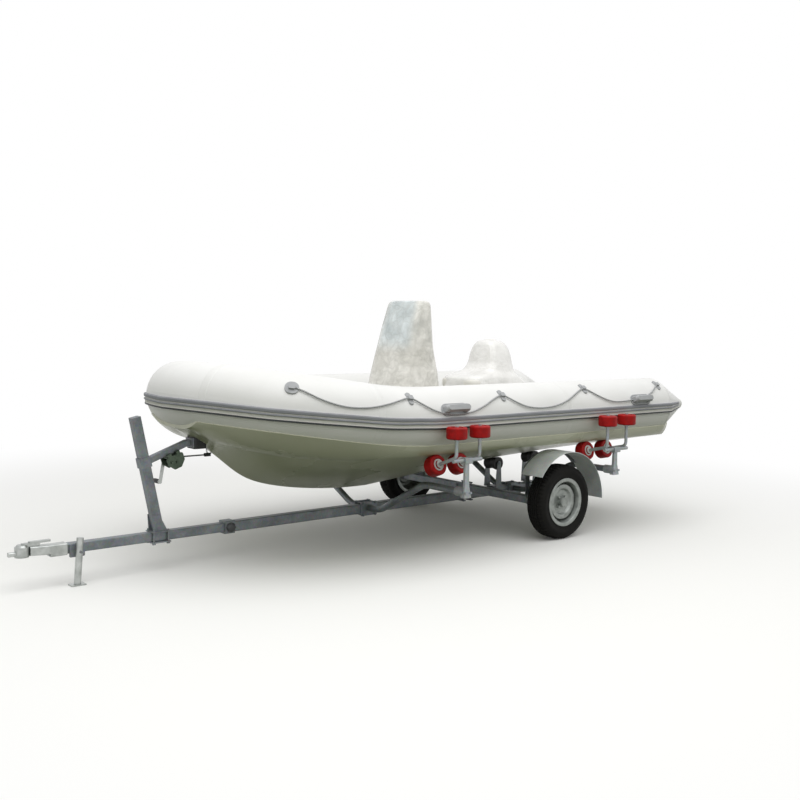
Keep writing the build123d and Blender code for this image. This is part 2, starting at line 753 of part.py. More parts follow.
# Winch post, arm, snubber, winch, crank and strap
POST_X = 2850.0
POST_FOOT = Vector(lx(POST_X), 0, SPINE_Z + BAR / 2)
POST_HEAD = Vector(lx(POST_X + 159), 0, 990)
POST = POST_HEAD - POST_FOOT
POST_DIR = POST.normalized()
POST_SIZE = 60.0
with BuildPart() as post:
    with BuildSketch(Plane(origin=POST_FOOT, x_dir=(0, 1, 0), z_dir=POST_DIR)):
        RectangleRounded(POST_SIZE, POST_SIZE, 6)
    extrude(amount=POST.length)
    with BuildSketch(Plane(origin=POST_FOOT - POST_DIR * 30, x_dir=(0, 1, 0), z_dir=POST_DIR)):
        RectangleRounded(POST_SIZE, POST_SIZE, 6)
    extrude(amount=31)
    with BuildSketch(Plane(origin=POST_FOOT - POST_DIR * 40, x_dir=(0, 1, 0), z_dir=POST_DIR)):
        RectangleRounded(POST_SIZE - 8, POST_SIZE - 8, 3)
    extrude(amount=POST.length + 36, mode=Mode.SUBTRACT)
    add(drawbar.part, mode=Mode.SUBTRACT)
    with Locations((lx(POST_X), 0, SPINE_Z)):
        Box(200, BAR, BAR, mode=Mode.SUBTRACT)
post_main = post.part.solids().sort_by(SortBy.VOLUME)[-1]
write(Part(post_main.wrapped), "winch_post")

with BuildPart() as post_clamp:
    with BuildSketch(Plane(origin=(lx(POST_X), 0, SPINE_Z + BAR / 2))):
        RectangleRounded(130, 104, 10)
    extrude(amount=6)
    with Locations((lx(POST_X), 0, SPINE_Z - BAR / 2 - 4)):
        Box(130, 104, 8)
    bolts = [(lx(POST_X + dx), y) for y in (42, -42) for dx in (-50, 50)]
    with Locations(*((x, y, SPINE_Z) for x, y in bolts)):
        Cylinder(6, BAR + 34)
    with Locations(*((x, y, SPINE_Z - BAR / 2 - 12) for x, y in bolts)):
        Cylinder(11, 10)
    for way in (1, -1):
        with BuildSketch(across((lx(POST_X), way * POST_SIZE / 2, SPINE_Z + BAR / 2), way)):
            with BuildLine():
                if way > 0:
                    Polyline((-50, 0), (50, 0), (58, -110), (8, -110), close=True)
                else:
                    Polyline((-50, 0), (50, 0), (58, 110), (8, 110), close=True)
            make_face()
        extrude(amount=6)
    add(post_main, mode=Mode.SUBTRACT)
    add(drawbar.part, mode=Mode.SUBTRACT)
    add(clamp.part)
write(post_clamp.part, "frame_clamps")

ARM_A = POST_FOOT + POST * ((700 - POST_FOOT.Z) / POST.Z)
ARM_B = Vector(lx(2650), 0, 806)
ARM_DIR = (ARM_B - ARM_A).normalized()
with BuildPart() as arm:
    with BuildSketch(Plane(origin=ARM_A - POST_DIR * 32, x_dir=(0, 1, 0), z_dir=POST_DIR)):
        RectangleRounded(POST_SIZE + 14, POST_SIZE + 14, 8)
    extrude(amount=64)
    with BuildSketch(Plane(origin=ARM_A, x_dir=(0, 1, 0), z_dir=ARM_DIR)):
        RectangleRounded(42, 42, 5)
    extrude(amount=(ARM_B - ARM_A).length)
    with BuildSketch(Plane(origin=ARM_A - POST_DIR * 60, x_dir=(0, 1, 0), z_dir=POST_DIR)):
        RectangleRounded(POST_SIZE, POST_SIZE, 6)
    extrude(amount=140, mode=Mode.SUBTRACT)
    with Locations((ARM_B.X - 26, 0, ARM_B.Z)):
        Box(10, 96, 60)
    with Locations((ARM_B.X - 13, 0, ARM_B.Z)):
        Box(30, 38, 38)
arm_main = arm.part.solids().sort_by(SortBy.VOLUME)[-1]
write(Part(arm_main.wrapped), "bow_stop_arm")

SNUB_LONG = 84.0
SNUB_WIDE = 112.0
SNUB_TALL = 88.0
with BuildPart() as snubber:
    with Locations((ARM_B.X - 31 - SNUB_LONG / 2, 0, ARM_B.Z + 4)):
        Box(SNUB_LONG, SNUB_WIDE, SNUB_TALL)
    fillet(snubber.edges().filter_by(Axis.Z).group_by(Axis.X)[-1], radius=14)
    with BuildSketch(Plane(origin=(ARM_B.X - 31 - SNUB_LONG, 0, ARM_B.Z), x_dir=(1, 0, 0), z_dir=(0, 0, 1))):
        with BuildLine():
            Polyline((0, -44), (0, 44), (36, 0), close=True)
        make_face()
    extrude(amount=100, both=True, mode=Mode.SUBTRACT)
    add(hull_main, mode=Mode.SUBTRACT)
    add(tubes["bow"], mode=Mode.SUBTRACT)
    add(arm_main, mode=Mode.SUBTRACT)
snub_main = snubber.part.solids().sort_by(SortBy.VOLUME)[-1]
write(Part(snub_main.wrapped), "bow_snubber")

# Winch hung under the arm and tilted with it: cheeks, drum, gear cover and shafts
WINCH_X, WINCH_Z = 2745.0, 694.0
WINCH_HALF = 46.0
CHEEK_T = 6.0
DRUM_R = 30.0
CHEEK = [(-62, 44), (58, 44), (58, -4), (24, -46), (-26, -46), (-62, -8)]
WINCH_SIDE = Plane(origin=(lx(WINCH_X), 0, WINCH_Z), x_dir=ARM_DIR * -1, z_dir=(0, -1, 0))
DRUM_C = WINCH_SIDE.from_local_coords(Vector(-6, -8, 0))
SHAFT_C = WINCH_SIDE.from_local_coords(Vector(30, 6, 0))
with BuildPart() as winch:
    for start in (-WINCH_HALF, WINCH_HALF - CHEEK_T):
        with BuildSketch(WINCH_SIDE.offset(start)):
            with BuildLine():
                Polyline(*CHEEK, close=True)
            make_face()
            fillet(vertices(), radius=12)
        extrude(amount=CHEEK_T)
    with BuildSketch(WINCH_SIDE.offset(-WINCH_HALF)):
        with Locations((-2, 41)):
            Rectangle(96, 6)
        with Locations((-32, 52), (28, 52)):
            Rectangle(26, 20)
    extrude(amount=2 * WINCH_HALF)
    for centre, radius, start, length in (
        (DRUM_C, DRUM_R, -40, 80), (DRUM_C, 9, -54, 108),
        (SHAFT_C, 8, -56, 116.5), (DRUM_C, 42, WINCH_HALF, 7),
    ):
        with BuildSketch(across(centre, -1).offset(start)):
            Circle(radius)
        extrude(amount=length)
    add(arm_main, mode=Mode.SUBTRACT)
winch_main = winch.part.solids().sort_by(SortBy.VOLUME)[-1]
write(Part(winch_main.wrapped), "winch")

STRAP_W = 46.0
STRAP_A = DRUM_C + Vector(-9, 0, DRUM_R - 1)
STRAP_B = Vector(lx(BOW_EYE_X) + 30, 0, BOW_EYE_Z - EYE_R - 6)
with BuildPart() as strap:
    with BuildSketch(Plane(origin=STRAP_A, x_dir=(0, 1, 0), z_dir=STRAP_B - STRAP_A)):
        Rectangle(STRAP_W, 3)
    extrude(amount=(STRAP_B - STRAP_A).length)
    with Locations((STRAP_B.X - 14, 0, STRAP_B.Z)):
        Box(44, 16, 22)
    add(eyes.part, mode=Mode.SUBTRACT)
    add(winch_main, mode=Mode.SUBTRACT)
    add(hull_main, mode=Mode.SUBTRACT)
strap_main = strap.part.solids().sort_by(SortBy.VOLUME)[-1]
write(Part(strap_main.wrapped), "winch_strap")

# Crank on the starboard end of the pinion shaft, hanging down
CRANK_Y = -60.5
CRANK_END = Vector(lx(2800), 0, 553)
CRANK_RUN = CRANK_END - SHAFT_C
with BuildPart() as crank:
    with BuildSketch(across(SHAFT_C + Vector(0, CRANK_Y, 0), -1)):
        Circle(14)
    extrude(amount=8)
    with BuildSketch(Plane(origin=SHAFT_C + Vector(0, CRANK_Y - 7, 0), x_dir=CRANK_RUN, z_dir=(0, -1, 0))):
        with Locations((CRANK_RUN.length / 2, 0)):
            RectangleRounded(CRANK_RUN.length + 26, 22, 10)
    extrude(amount=7)
    with BuildSketch(across(CRANK_END + Vector(0, CRANK_Y - 14, 0), -1)):
        Circle(13)
    extrude(amount=86)
write(crank.part, "winch_crank")

# Gull-wing arms bolted to the spine sides: y and share of the rise along each arm
ARM_ROUTE = [
    # y, rise_share, bend
    (SPINE / 2 + 8, 0, 0),
    (170, 0, 260),
    (660, 1, 240),
    (ARM_END, 1, 0),
]
CROSS = [
    # word, x, roller_half_spacing, arm_z
    ("front", 1160.0, 106.0, 484.0),
    ("rear", -412.0, 114.0, 506.0),
]
cross_parts = {}
for word, x, half, arm_z in CROSS:
    with BuildPart() as arms:
        for side in (1, -1):
            points = [(lx(x), side * y, ARM_Z0 + share * (arm_z - ARM_Z0)) for y, share, bend in ARM_ROUTE]
            with BuildLine() as route:
                FilletPolyline(*points, radius=[bend for y, share, bend in ARM_ROUTE[1:-1]])
            with BuildSketch(Plane(origin=route.line @ 0, z_dir=route.line % 0)):
                Circle(ARM_D / 2)
                Circle(ARM_D / 2 - 4, mode=Mode.SUBTRACT)
            sweep()
    cross_parts[word] = arms.part
    write(arms.part, f"{word}_arms")

with BuildPart() as plates:
    for word, x, half, arm_z in CROSS:
        for side in (1, -1):
            with BuildSketch(across((lx(x), side * SPINE / 2, ARM_Z0 - 5), side)):
                RectangleRounded(150, SPINE + 34, 10)
            extrude(amount=8)
            for dx in (-55, 55):
                for dz in (-44, 44):
                    with Locations((lx(x) + dx, 0, ARM_Z0 - 5 + dz)):
                        with Locations(Rot(90, 0, 0)):
                            Cylinder(6, SPINE + 44)
                    head = (lx(x) + dx, side * (SPINE / 2 + 8), ARM_Z0 - 5 + dz)
                    with BuildSketch(across(head, side)):
                        RegularPolygon(11, 6)
                    extrude(amount=8)
write(plates.part, "arm_plates")


# Roller cradles
def roller(origin, axis, radius, width):
    """Solid roller with rounded rims, a recessed outer face and a bore, spun about its axle."""
    frame = Plane(origin=origin, z_dir=axis)
    rim = 12
    with BuildPart() as drum:
        with BuildSketch(Plane(origin=frame.origin, x_dir=frame.x_dir, z_dir=-frame.y_dir)):
            with BuildLine():
                Polyline((ROLLER_BORE, width / 2), (ROLLER_BORE, -width / 2), (radius - rim, -width / 2))
                RadiusArc((radius - rim, -width / 2), (radius, rim - width / 2), -rim)
                Line((radius, rim - width / 2), (radius, width / 2 - rim))
                RadiusArc((radius, width / 2 - rim), (radius - rim, width / 2), -rim)
                Polyline(
                    (radius - rim, width / 2), (radius * 0.62, width / 2), (radius * 0.58, width / 2 - 7),
                    (radius * 0.40, width / 2 - 7), (radius * 0.37, width / 2), (ROLLER_BORE, width / 2),
                )
            make_face()
        revolve(axis=Axis(origin, axis))
    return drum.part


def low_roller(x, side):
    """Centre and axle direction of a roller pressed square against the bottom of the hull."""
    keel_z, chine_y, chine_z = hull_row(x)
    slope = math.atan2(chine_z - keel_z, chine_y)
    away = ROLLER_R - ROLLER_PRESS
    y = LOW_REACH + away * math.sin(slope)
    z = keel_z + LOW_REACH * math.tan(slope) - away * math.cos(slope)
    return Vector(lx(x), side * y, z), Vector(0, side * math.cos(slope), math.sin(slope))


ROD_DROP = 20.0
STEM_Y = ARM_END + 36
for word, x, half, arm_z in CROSS:
    for side_word, side in SIDES:
        middle, axle = low_roller(x, side)
        bar_z = middle.Z + (HIGH_Y - abs(middle.Y)) * axle.Z / abs(axle.Y) - ROD_DROP
        with BuildPart() as frame:
            with BuildSketch(across((lx(x), side * (ARM_END - 50), arm_z), side)):
                Circle(ARM_D / 2 + 8)
            extrude(amount=STEM_Y - ARM_END + 50)
            for z, long, wide in ((arm_z - 34, 66, 46), (arm_z + 46, 40, 30), (bar_z, 36, 26)):
                with BuildSketch(Plane(origin=(lx(x), side * STEM_Y, z))):
                    RectangleRounded(long, wide, 9)
            loft(ruled=True)
            with BuildSketch(endways((lx(x) - 34, side * (BAR_Y - 2), bar_z - 4))):
                RectangleRounded(46, 42, 10)
            extrude(amount=68)
            reach = half + 22
            with BuildSketch(endways((lx(x) - reach, side * BAR_Y, bar_z))):
                Circle(BAR_R)
            extrude(amount=2 * reach)
            for dx in (-22, 22):
                with BuildSketch(across((lx(x) + dx, side * (STEM_Y + 14), arm_z), side)):
                    RegularPolygon(9, 6)
                extrude(amount=14)
            for way in (1, -1):
                inner, low_axis = low_roller(x + way * half, side)
                tip = inner - low_axis * (ROLLER_W / 2 + 10)
                corner = inner + low_axis * ((HIGH_Y - abs(inner.Y)) / abs(low_axis.Y))
                head = Vector(inner.X, side * HIGH_Y, HIGH_Z + HIGH_W / 2 + 8)
                with BuildLine() as rod:
                    FilletPolyline(tip, corner, head, radius=40)
                with BuildSketch(Plane(origin=rod.line @ 0, z_dir=rod.line % 0)):
                    Circle(ROLLER_BORE - 0.05)
                sweep()
                with BuildSketch(Plane(origin=inner + low_axis * (ROLLER_W / 2 + 0.3), z_dir=low_axis)):
                    Circle(22)
                extrude(amount=7)
                with BuildSketch(Plane(origin=(head.X, head.Y, HIGH_Z - HIGH_W / 2 - 7.3))):
                    Circle(22)
                extrude(amount=7)
            add(cross_parts[word], mode=Mode.SUBTRACT)
        cradle_main = frame.part.solids().sort_by(SortBy.VOLUME)[-1]
        write(Part(cradle_main.wrapped), f"cradle_{word}_{side_word}")
        with BuildPart() as rollers:
            for way in (1, -1):
                inner, low_axis = low_roller(x + way * half, side)
                add(roller(inner, low_axis, ROLLER_R, ROLLER_W))
                high = Vector(inner.X, side * HIGH_Y, HIGH_Z)
                add(roller(high, Vector(0, 0, 1), HIGH_R, HIGH_W))
            add(hull_main, mode=Mode.SUBTRACT)
        write(rollers.part, f"rollers_{word}_{side_word}")

# Keel rollers on forks over the spine: x from the axle
KEEL_ROLLERS = [-190.0, -640.0]
KEEL_R = 44.0
KEEL_W = 120.0
FORK_T = 8.0
with BuildPart() as forks:
    for x in KEEL_ROLLERS:
        zc = hull_row(x)[0] - KEEL_R - 1
        foot_z = SPINE_Z + SPINE / 2
        for way in (-1, 1):
            with BuildSketch(across((lx(x), way * (KEEL_W / 2 + 2), 0), -way)):
                with BuildLine():
                    low, high = (foot_z * way, zc * way)
                    Polyline((-34, low), (34, low), (20, high), (-20, high), close=True)
                make_face()
                with Locations((0, zc * way)):
                    Circle(20)
            extrude(amount=-FORK_T)
        with Locations((lx(x), 0, foot_z + FORK_T / 2)):
            Box(70, KEEL_W + 20, FORK_T)
        with Locations((lx(x), 0, zc)):
            with Locations(Rot(90, 0, 0)):
                Cylinder(8.95, KEEL_W + 30)
write(forks.part, "keel_roller_forks")

with BuildPart() as keel_rollers:
    for x in KEEL_ROLLERS:
        zc = hull_row(x)[0] - KEEL_R - 1
        with BuildSketch(endways((lx(x), 0, zc))):
            with BuildLine():
                Polyline(
                    (-KEEL_W / 2, 9), (KEEL_W / 2, 9),
                    (KEEL_W / 2, KEEL_R + 10), (KEEL_W / 2 - 14, KEEL_R + 10),
                    (0, KEEL_R), (-KEEL_W / 2 + 14, KEEL_R + 10), (-KEEL_W / 2, KEEL_R + 10), close=True,
                )
            make_face()
        revolve(axis=Axis((lx(x), 0, zc), (0, 1, 0)))
    add(hull_main, mode=Mode.SUBTRACT)
write(keel_rollers.part, "keel_rollers")

# Axle: torsion beam across the spine, swing arms trailing to the hubs
BEAM_END = 716.0
with BuildPart() as beam:
    with BuildSketch(across((lx(AXLE_AHEAD), -BEAM_END, AXLE_Z), 1)):
        RectangleRounded(AXLE_BEAM, AXLE_BEAM, 8)
        RectangleRounded(AXLE_BEAM - 12, AXLE_BEAM - 12, 4, mode=Mode.SUBTRACT)
    extrude(amount=2 * BEAM_END)
    for dx in (-40, 40):
        for side in (1, -1):
            with Locations((lx(AXLE_AHEAD) + dx, side * (SPINE / 2 + 12), AXLE_Z - 35)):
                Cylinder(6, 150)
        with Locations((lx(AXLE_AHEAD) + dx, 0, AXLE_Z + 35)):
            Box(14, SPINE + 50, 10)
        with Locations((lx(AXLE_AHEAD) + dx, 0, SPINE_Z - SPINE / 2 - 5)):
            Box(26, SPINE + 50, 10)
write(beam.part, "axle_beam")

HUB_FACE = WHEEL_Y - 30
with BuildPart() as swing:
    for side in (1, -1):
        with BuildSketch(across((lx(0), side * (BEAM_END + 0.0), 0), -1)):
            with Locations((AXLE_AHEAD, AXLE_Z)):
                Circle(40)
            with Locations((0, HUB_Z)):
                Circle(34)
            with Locations((AXLE_AHEAD / 2, (AXLE_Z + HUB_Z) / 2)):
                Rectangle(AXLE_AHEAD, 58)
        extrude(amount=-side * 26)
        with BuildSketch(across((lx(0), side * (BEAM_END + 26), HUB_Z), side)):
            Circle(17.5)
        extrude(amount=HUB_FACE + 56 - BEAM_END - 26)
        with BuildSketch(across((lx(0), side * (BEAM_END + 26), HUB_Z), side)):
            Circle(26)
        extrude(amount=HUB_FACE - 46 - BEAM_END - 26)
write(swing.part, "swing_arms")

# Wheels: hub, rim and tyre profiles spun about the axle, y from the wheel's middle, outboard positive
DISH_Y = 30.0
for word, side in SIDES:
    axle = Axis((lx(0), 0, HUB_Z), (0, side, 0))
    disc = Plane(origin=(lx(0), side * WHEEL_Y, HUB_Z), x_dir=(1, 0, 0), z_dir=(0, 0, side))
    with BuildPart() as hub:
        with BuildSketch(disc):
            with BuildLine():
                Polyline(
                    (17.55, -66), (44, -66), (44, -20), (70, -20), (70, DISH_Y - 10), (38, DISH_Y - 10),
                    (38, 50), (34, 62), (0, 62), (0, 40), (17.55, 40), close=True,
                )
            make_face()
        revolve(axis=axle)
        for turn in (45, 135, 225, 315):
            a = math.radians(turn)
            stud = (lx(0) + 49 * math.cos(a), side * (WHEEL_Y + DISH_Y - 12), HUB_Z + 49 * math.sin(a))
            with BuildSketch(across(stud, side)):
                RegularPolygon(10, 6)
            extrude(amount=26)
    write(hub.part, f"hub_{word}")
    with BuildPart() as rim:
        with BuildSketch(disc):
            with BuildLine():
                Polyline(
                    (38.2, DISH_Y - 10), (92, DISH_Y - 10), (104, DISH_Y + 8), (126, DISH_Y + 8),
                    (138, -8), (143, -8),
                    (152, 26), (158, 62), (182, 68), (182, 74), (155, 71), (147, 40), (146, 14), (140, 2),
                    (131, DISH_Y + 16), (100, DISH_Y + 16), (88, DISH_Y - 4), (38.2, DISH_Y - 4), close=True,
                )
            make_face()
            with BuildLine():
                Polyline(
                    (138, -8), (143, -8), (143, -40), (152, -52), (158, -66),
                    (182, -70), (182, -75), (154, -72),
                    (147, -56), (138, -42), close=True,
                )
            make_face()
        revolve(axis=axle)
        add(hub.part, mode=Mode.SUBTRACT)
    write(rim.part, f"rim_{word}")
    with BuildPart() as tyre:
        with BuildSketch(disc):
            with BuildLine():
                Polyline(
                    (154, 60), (185, 68), (212, 80), (236, 82.4), (258, 76),
                    (272, 64), (278, 52), (TYRE_R, 20),
                    (TYRE_R, -20), (278, -52), (272, -64), (258, -76), (236, -82.4),
                    (212, -80), (185, -69), (150, -62),
                    (168, -56), (190, -60), (214, -72), (236, -74), (256, -68),
                    (268, -52), (270, 0), (268, 52),
                    (256, 68), (236, 74), (214, 72), (190, 60), (168, 54), close=True,
                )
            make_face()
        revolve(axis=axle)
        add(rim.part, mode=Mode.SUBTRACT)
    tyre_main = tyre.part.solids().sort_by(SortBy.VOLUME)[-1]
    write(Part(tyre_main.wrapped), f"tyre_{word}")

# Mudguards: rolled strip over each wheel, stays to the axle beam
GUARD_R = 380.0
GUARD_T = 3.0
GUARD_IN = 786.0
GUARD_OUT = 992.0
GUARD_FROM = 35.0
GUARD_TO = 180.0


def ring_strip(radius, thick, start, end):
    """Closed outline of a strip rolled to a radius between two angles, in the open line."""
    CenterArc((0, 0), radius + thick, start, end - start)
    CenterArc((0, 0), radius, start, end - start)
    for turn in (start, end):
        c, s = math.cos(math.radians(turn)), math.sin(math.radians(turn))
        Line((radius * c, radius * s), ((radius + thick) * c, (radius + thick) * s))


for word, side in SIDES:
    with BuildPart() as guard:
        with BuildSketch(across((lx(0), side * GUARD_IN, HUB_Z), -1)):
            with BuildLine():
                ring_strip(GUARD_R, GUARD_T, GUARD_FROM, GUARD_TO)
            make_face()
        extrude(amount=-side * (GUARD_OUT - GUARD_IN))
    write(guard.part, f"mudguard_{word}")

STAY_Y = 764.0
STAY_T = 4.0
SHELF_Z = 470.0
STAY_TOP = HUB_Z + math.sqrt((GUARD_R - STAY_T) ** 2 - (AXLE_AHEAD + 15) ** 2)
with BuildPart() as stays:
    for side in (1, -1):
        with Locations((lx(AXLE_AHEAD), side * 700, (AXLE_Z + AXLE_BEAM / 2 + SHELF_Z) / 2)):
            Box(AXLE_BEAM - 16, STAY_T, SHELF_Z - AXLE_Z - AXLE_BEAM / 2)
        with Locations((lx(AXLE_AHEAD), side * 732, SHELF_Z + STAY_T / 2)):
            Box(90, 70, STAY_T)
        with BuildSketch(across((lx(0), side * (STAY_Y + STAY_T / 2), HUB_Z), -1)):
            with BuildLine():
                ring_strip(GUARD_R - STAY_T, STAY_T, 44, 136)
            make_face()
        extrude(amount=-side * 45)
        with Locations((lx(AXLE_AHEAD), side * STAY_Y, (SHELF_Z + STAY_TOP + STAY_T) / 2)):
            Box(30, STAY_T, STAY_TOP + STAY_T - SHELF_Z)
write(stays.part, "mudguard_stays")
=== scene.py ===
"""Looks of an inflatable boat on its roller trailer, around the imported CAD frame."""

import json
import math

import bmesh
import bpy
import numpy as np
from bpy.props import FloatProperty, PointerProperty, StringProperty
from mathutils import Matrix, Vector


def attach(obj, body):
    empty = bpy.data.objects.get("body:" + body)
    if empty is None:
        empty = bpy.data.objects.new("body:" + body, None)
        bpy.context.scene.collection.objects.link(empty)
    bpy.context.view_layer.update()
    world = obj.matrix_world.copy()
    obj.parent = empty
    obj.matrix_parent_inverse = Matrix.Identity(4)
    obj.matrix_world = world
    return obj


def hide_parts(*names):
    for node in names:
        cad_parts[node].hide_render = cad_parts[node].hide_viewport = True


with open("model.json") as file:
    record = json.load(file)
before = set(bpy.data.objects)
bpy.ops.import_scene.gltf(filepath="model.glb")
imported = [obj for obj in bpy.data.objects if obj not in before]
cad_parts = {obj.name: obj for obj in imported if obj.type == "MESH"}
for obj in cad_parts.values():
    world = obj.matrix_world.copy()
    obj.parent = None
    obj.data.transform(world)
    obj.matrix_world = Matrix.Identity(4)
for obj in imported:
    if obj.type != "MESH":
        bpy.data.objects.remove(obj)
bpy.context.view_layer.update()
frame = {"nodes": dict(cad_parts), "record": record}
NODES = frame["nodes"]

bl_info = {
    "name": "Inflatable boat on trailer",
    "version": (1, 0, 0),
    "blender": (4, 5, 0),
    "location": "3D View > Sidebar > Boat",
    "description": "Dresses the CAD frame of an inflatable boat on its trailer",
    "category": "Object",
}

# Sizes shared with the CAD source, in metres; lengths in tables run from the axle
MM = 0.001
AXLE_X = -1.055
TUBE_R = 0.230
TUBE_Y = 0.770
TUBE_Z = 0.946
TUBE_START = AXLE_X - 1.220
STRAIGHT = 2.450
BEND_R = 4.070
BETA = math.radians(8.4)
RISE = BEND_R * BETA
HALF_RUN = STRAIGHT + RISE + TUBE_Y * math.pi / 2
CONE_RUN = 0.410
CONE_TIP_R = 0.048
HUB_Z = 0.2805
WHEEL_Y = 0.880
SIDES = (("port", 1), ("starboard", -1))


# Shapes worked out as whole arrays


def tube_path(s):
    """Middle line of the tube: straight, a slow upward arc, then a tilted half ring round the bow.

    s runs from the port stern round the bow to the starboard stern; the second half mirrors the first.
    """
    s = np.asarray(s, float)
    side = np.where(s <= HALF_RUN, 1.0, -1.0)
    m = np.minimum(s, 2 * HALF_RUN - s)
    a = np.clip((m - STRAIGHT) / BEND_R, 0, BETA)
    t = np.clip((m - STRAIGHT - RISE) / TUBE_Y, 0, math.pi / 2)
    out = np.stack([np.sin(t) * math.cos(BETA), side * np.cos(t), np.sin(t) * math.sin(BETA)], -1)
    up = np.stack([-np.sin(a), 0 * a, np.cos(a)], -1)
    x = TUBE_START + np.minimum(m, STRAIGHT) + BEND_R * np.sin(a)
    z = TUBE_Z + BEND_R * (1 - np.cos(a))
    centre = np.stack([x, 0 * x, z], -1) + out * TUBE_Y
    radius = TUBE_R + np.minimum(m, 0) * (TUBE_R - CONE_TIP_R) / CONE_RUN
    return centre, out, up, radius


def on_skin(s, arc, lift):
    """Point on the tube: s along it, arc up round it from its widest line, lift straight out of the skin."""
    centre, out, up, radius = tube_path(s)
    turn = (np.asarray(arc) / radius)[..., None]
    reach = (radius + lift)[..., None]
    return centre + (out * np.cos(turn) + up * np.sin(turn)) * reach


def corners(grid):
    """The four corners of each cell of a grid, in turn."""
    return np.stack([grid[:-1, :-1], grid[1:, :-1], grid[1:, 1:], grid[:-1, 1:]], 2)


def patch(points, wrap_u=False, wrap_v=False, u=None, v=None, slot=0):
    """Quads over a grid of points, closed in a direction that wraps, with grid numbers as UVs."""
    nu, nv = points.shape[:2]
    index = np.arange(nu * nv).reshape(nu, nv)
    u = np.linspace(0, 1, nu + wrap_u) if u is None else np.asarray(u)
    v = np.linspace(0, 1, nv + wrap_v) if v is None else np.asarray(v)
    if wrap_u:
        index = np.vstack([index, index[:1]])
    if wrap_v:
        index = np.hstack([index, index[:, :1]])
    uv = np.stack(np.meshgrid(u, v, indexing="ij"), -1)
    quads = corners(index).reshape(-1, 4)
    return points.reshape(-1, 3), quads, corners(uv).reshape(-1, 2), np.full(len(quads), slot)


def surface(name, patches, materials, body="frame", outward=True):
    """Mesh of several patches: joined, doubles merged, faces turned outward, shaded smooth."""
    points = np.concatenate([p[0] for p in patches])
    starts = np.cumsum([0] + [len(p[0]) for p in patches[:-1]])
    quads = np.concatenate([p[1] + n for p, n in zip(patches, starts)])
    mesh = bpy.data.meshes.new(name)
    mesh.vertices.add(len(points))
    mesh.vertices.foreach_set("co", points.astype(np.float32).ravel())
    mesh.loops.add(quads.size)
    mesh.loops.foreach_set("vertex_index", quads.astype(np.int32).ravel())
    mesh.polygons.add(len(quads))
    mesh.polygons.foreach_set("loop_start", np.arange(0, quads.size, 4, dtype=np.int32))
    mesh.polygons.foreach_set("material_index", np.concatenate([p[3] for p in patches]).astype(np.int32))
    mesh.update(calc_edges=True)
    layer = mesh.uv_layers.new(name="surface")
    layer.data.foreach_set("uv", np.concatenate([p[2] for p in patches]).astype(np.float32).ravel())
    work = bmesh.new()
    work.from_mesh(mesh)
    bmesh.ops.remove_doubles(work, verts=work.verts, dist=2e-6)
    if outward:
        bmesh.ops.recalc_face_normals(work, faces=work.faces)
    work.to_mesh(mesh)
    work.free()
    mesh.shade_smooth()
    piece = bpy.data.objects.new(name, mesh)
    bpy.context.scene.collection.objects.link(piece)
    for paint in materials:
        mesh.materials.append(paint)
    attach(piece, body)
    return piece


def sharpen(piece, degrees=40):
    """Keep edges that turn more than an angle crisp."""
    piece.data.set_sharp_from_angle(angle=math.radians(degrees))


def lathe(profile, origin, axis, turns=96, slot=0, ripple=None, push=None):
    """A profile of (radius, height) spun about an axis.

    Point = origin + direction at the angle times (radius + ripple) + axis times (height + push).
    """
    profile = np.asarray(profile, float)
    z = Vector(axis).normalized()
    x = z.orthogonal().normalized()
    y = z.cross(x)
    a = np.linspace(0, 2 * math.pi, turns, endpoint=False)
    radius = np.broadcast_to(profile[:, 0], (turns, len(profile)))
    if ripple is not None:
        radius = radius + ripple(a[:, None], np.arange(len(profile))[None, :])
    ring = np.cos(a)[:, None, None] * np.array(x) + np.sin(a)[:, None, None] * np.array(y)
    height = np.broadcast_to(profile[:, 1], (turns, len(profile)))
    if push is not None:
        height = height + push(a[:, None], profile[None, :, 0], profile[None, :, 1])
    points = np.array(origin) + ring * radius[..., None] + np.array(z) * height[..., None]
    return patch(points, wrap_u=True, slot=slot)


def bulge(theta, power):
    """Unit rounded square: each coordinate is the cosine or sine raised to 2 / power, sign kept."""
    both = np.stack([np.cos(theta), np.sin(theta)])
    return np.sign(both) * np.abs(both) ** (2 / power)


# Edge of a pad from its bottom middle to its top middle: share of the half size, share of the thickness
PAD_EDGE = [
    (0, 0), (0.6, 0), (0.9, 0.01), (0.975, 0.08), (1, 0.22), (1, 0.62), (0.985, 0.80), (0.94, 0.90),
    (0.80, 0.96), (0.5, 0.99), (0, 1),
]


def cushion(centre, along, across, half_a, half_b, thick, power):
    """Closed pad with a crowned top.

    Point = centre + rounded square times the share of the half size + up times the share of the thickness.
    """
    rows = np.array(PAD_EDGE)
    along, across = Vector(along).normalized(), Vector(across).normalized()
    up = np.array(along.cross(across))
    u, v = bulge(np.linspace(0, 2 * math.pi, 96, endpoint=False), power)
    flat = u[:, None] * half_a * np.array(along) + v[:, None] * half_b * np.array(across)
    points = np.array(centre) + flat[:, None] * rows[None, :, :1] + up * (rows[:, 1:] * thick)
    return patch(points, wrap_u=True)


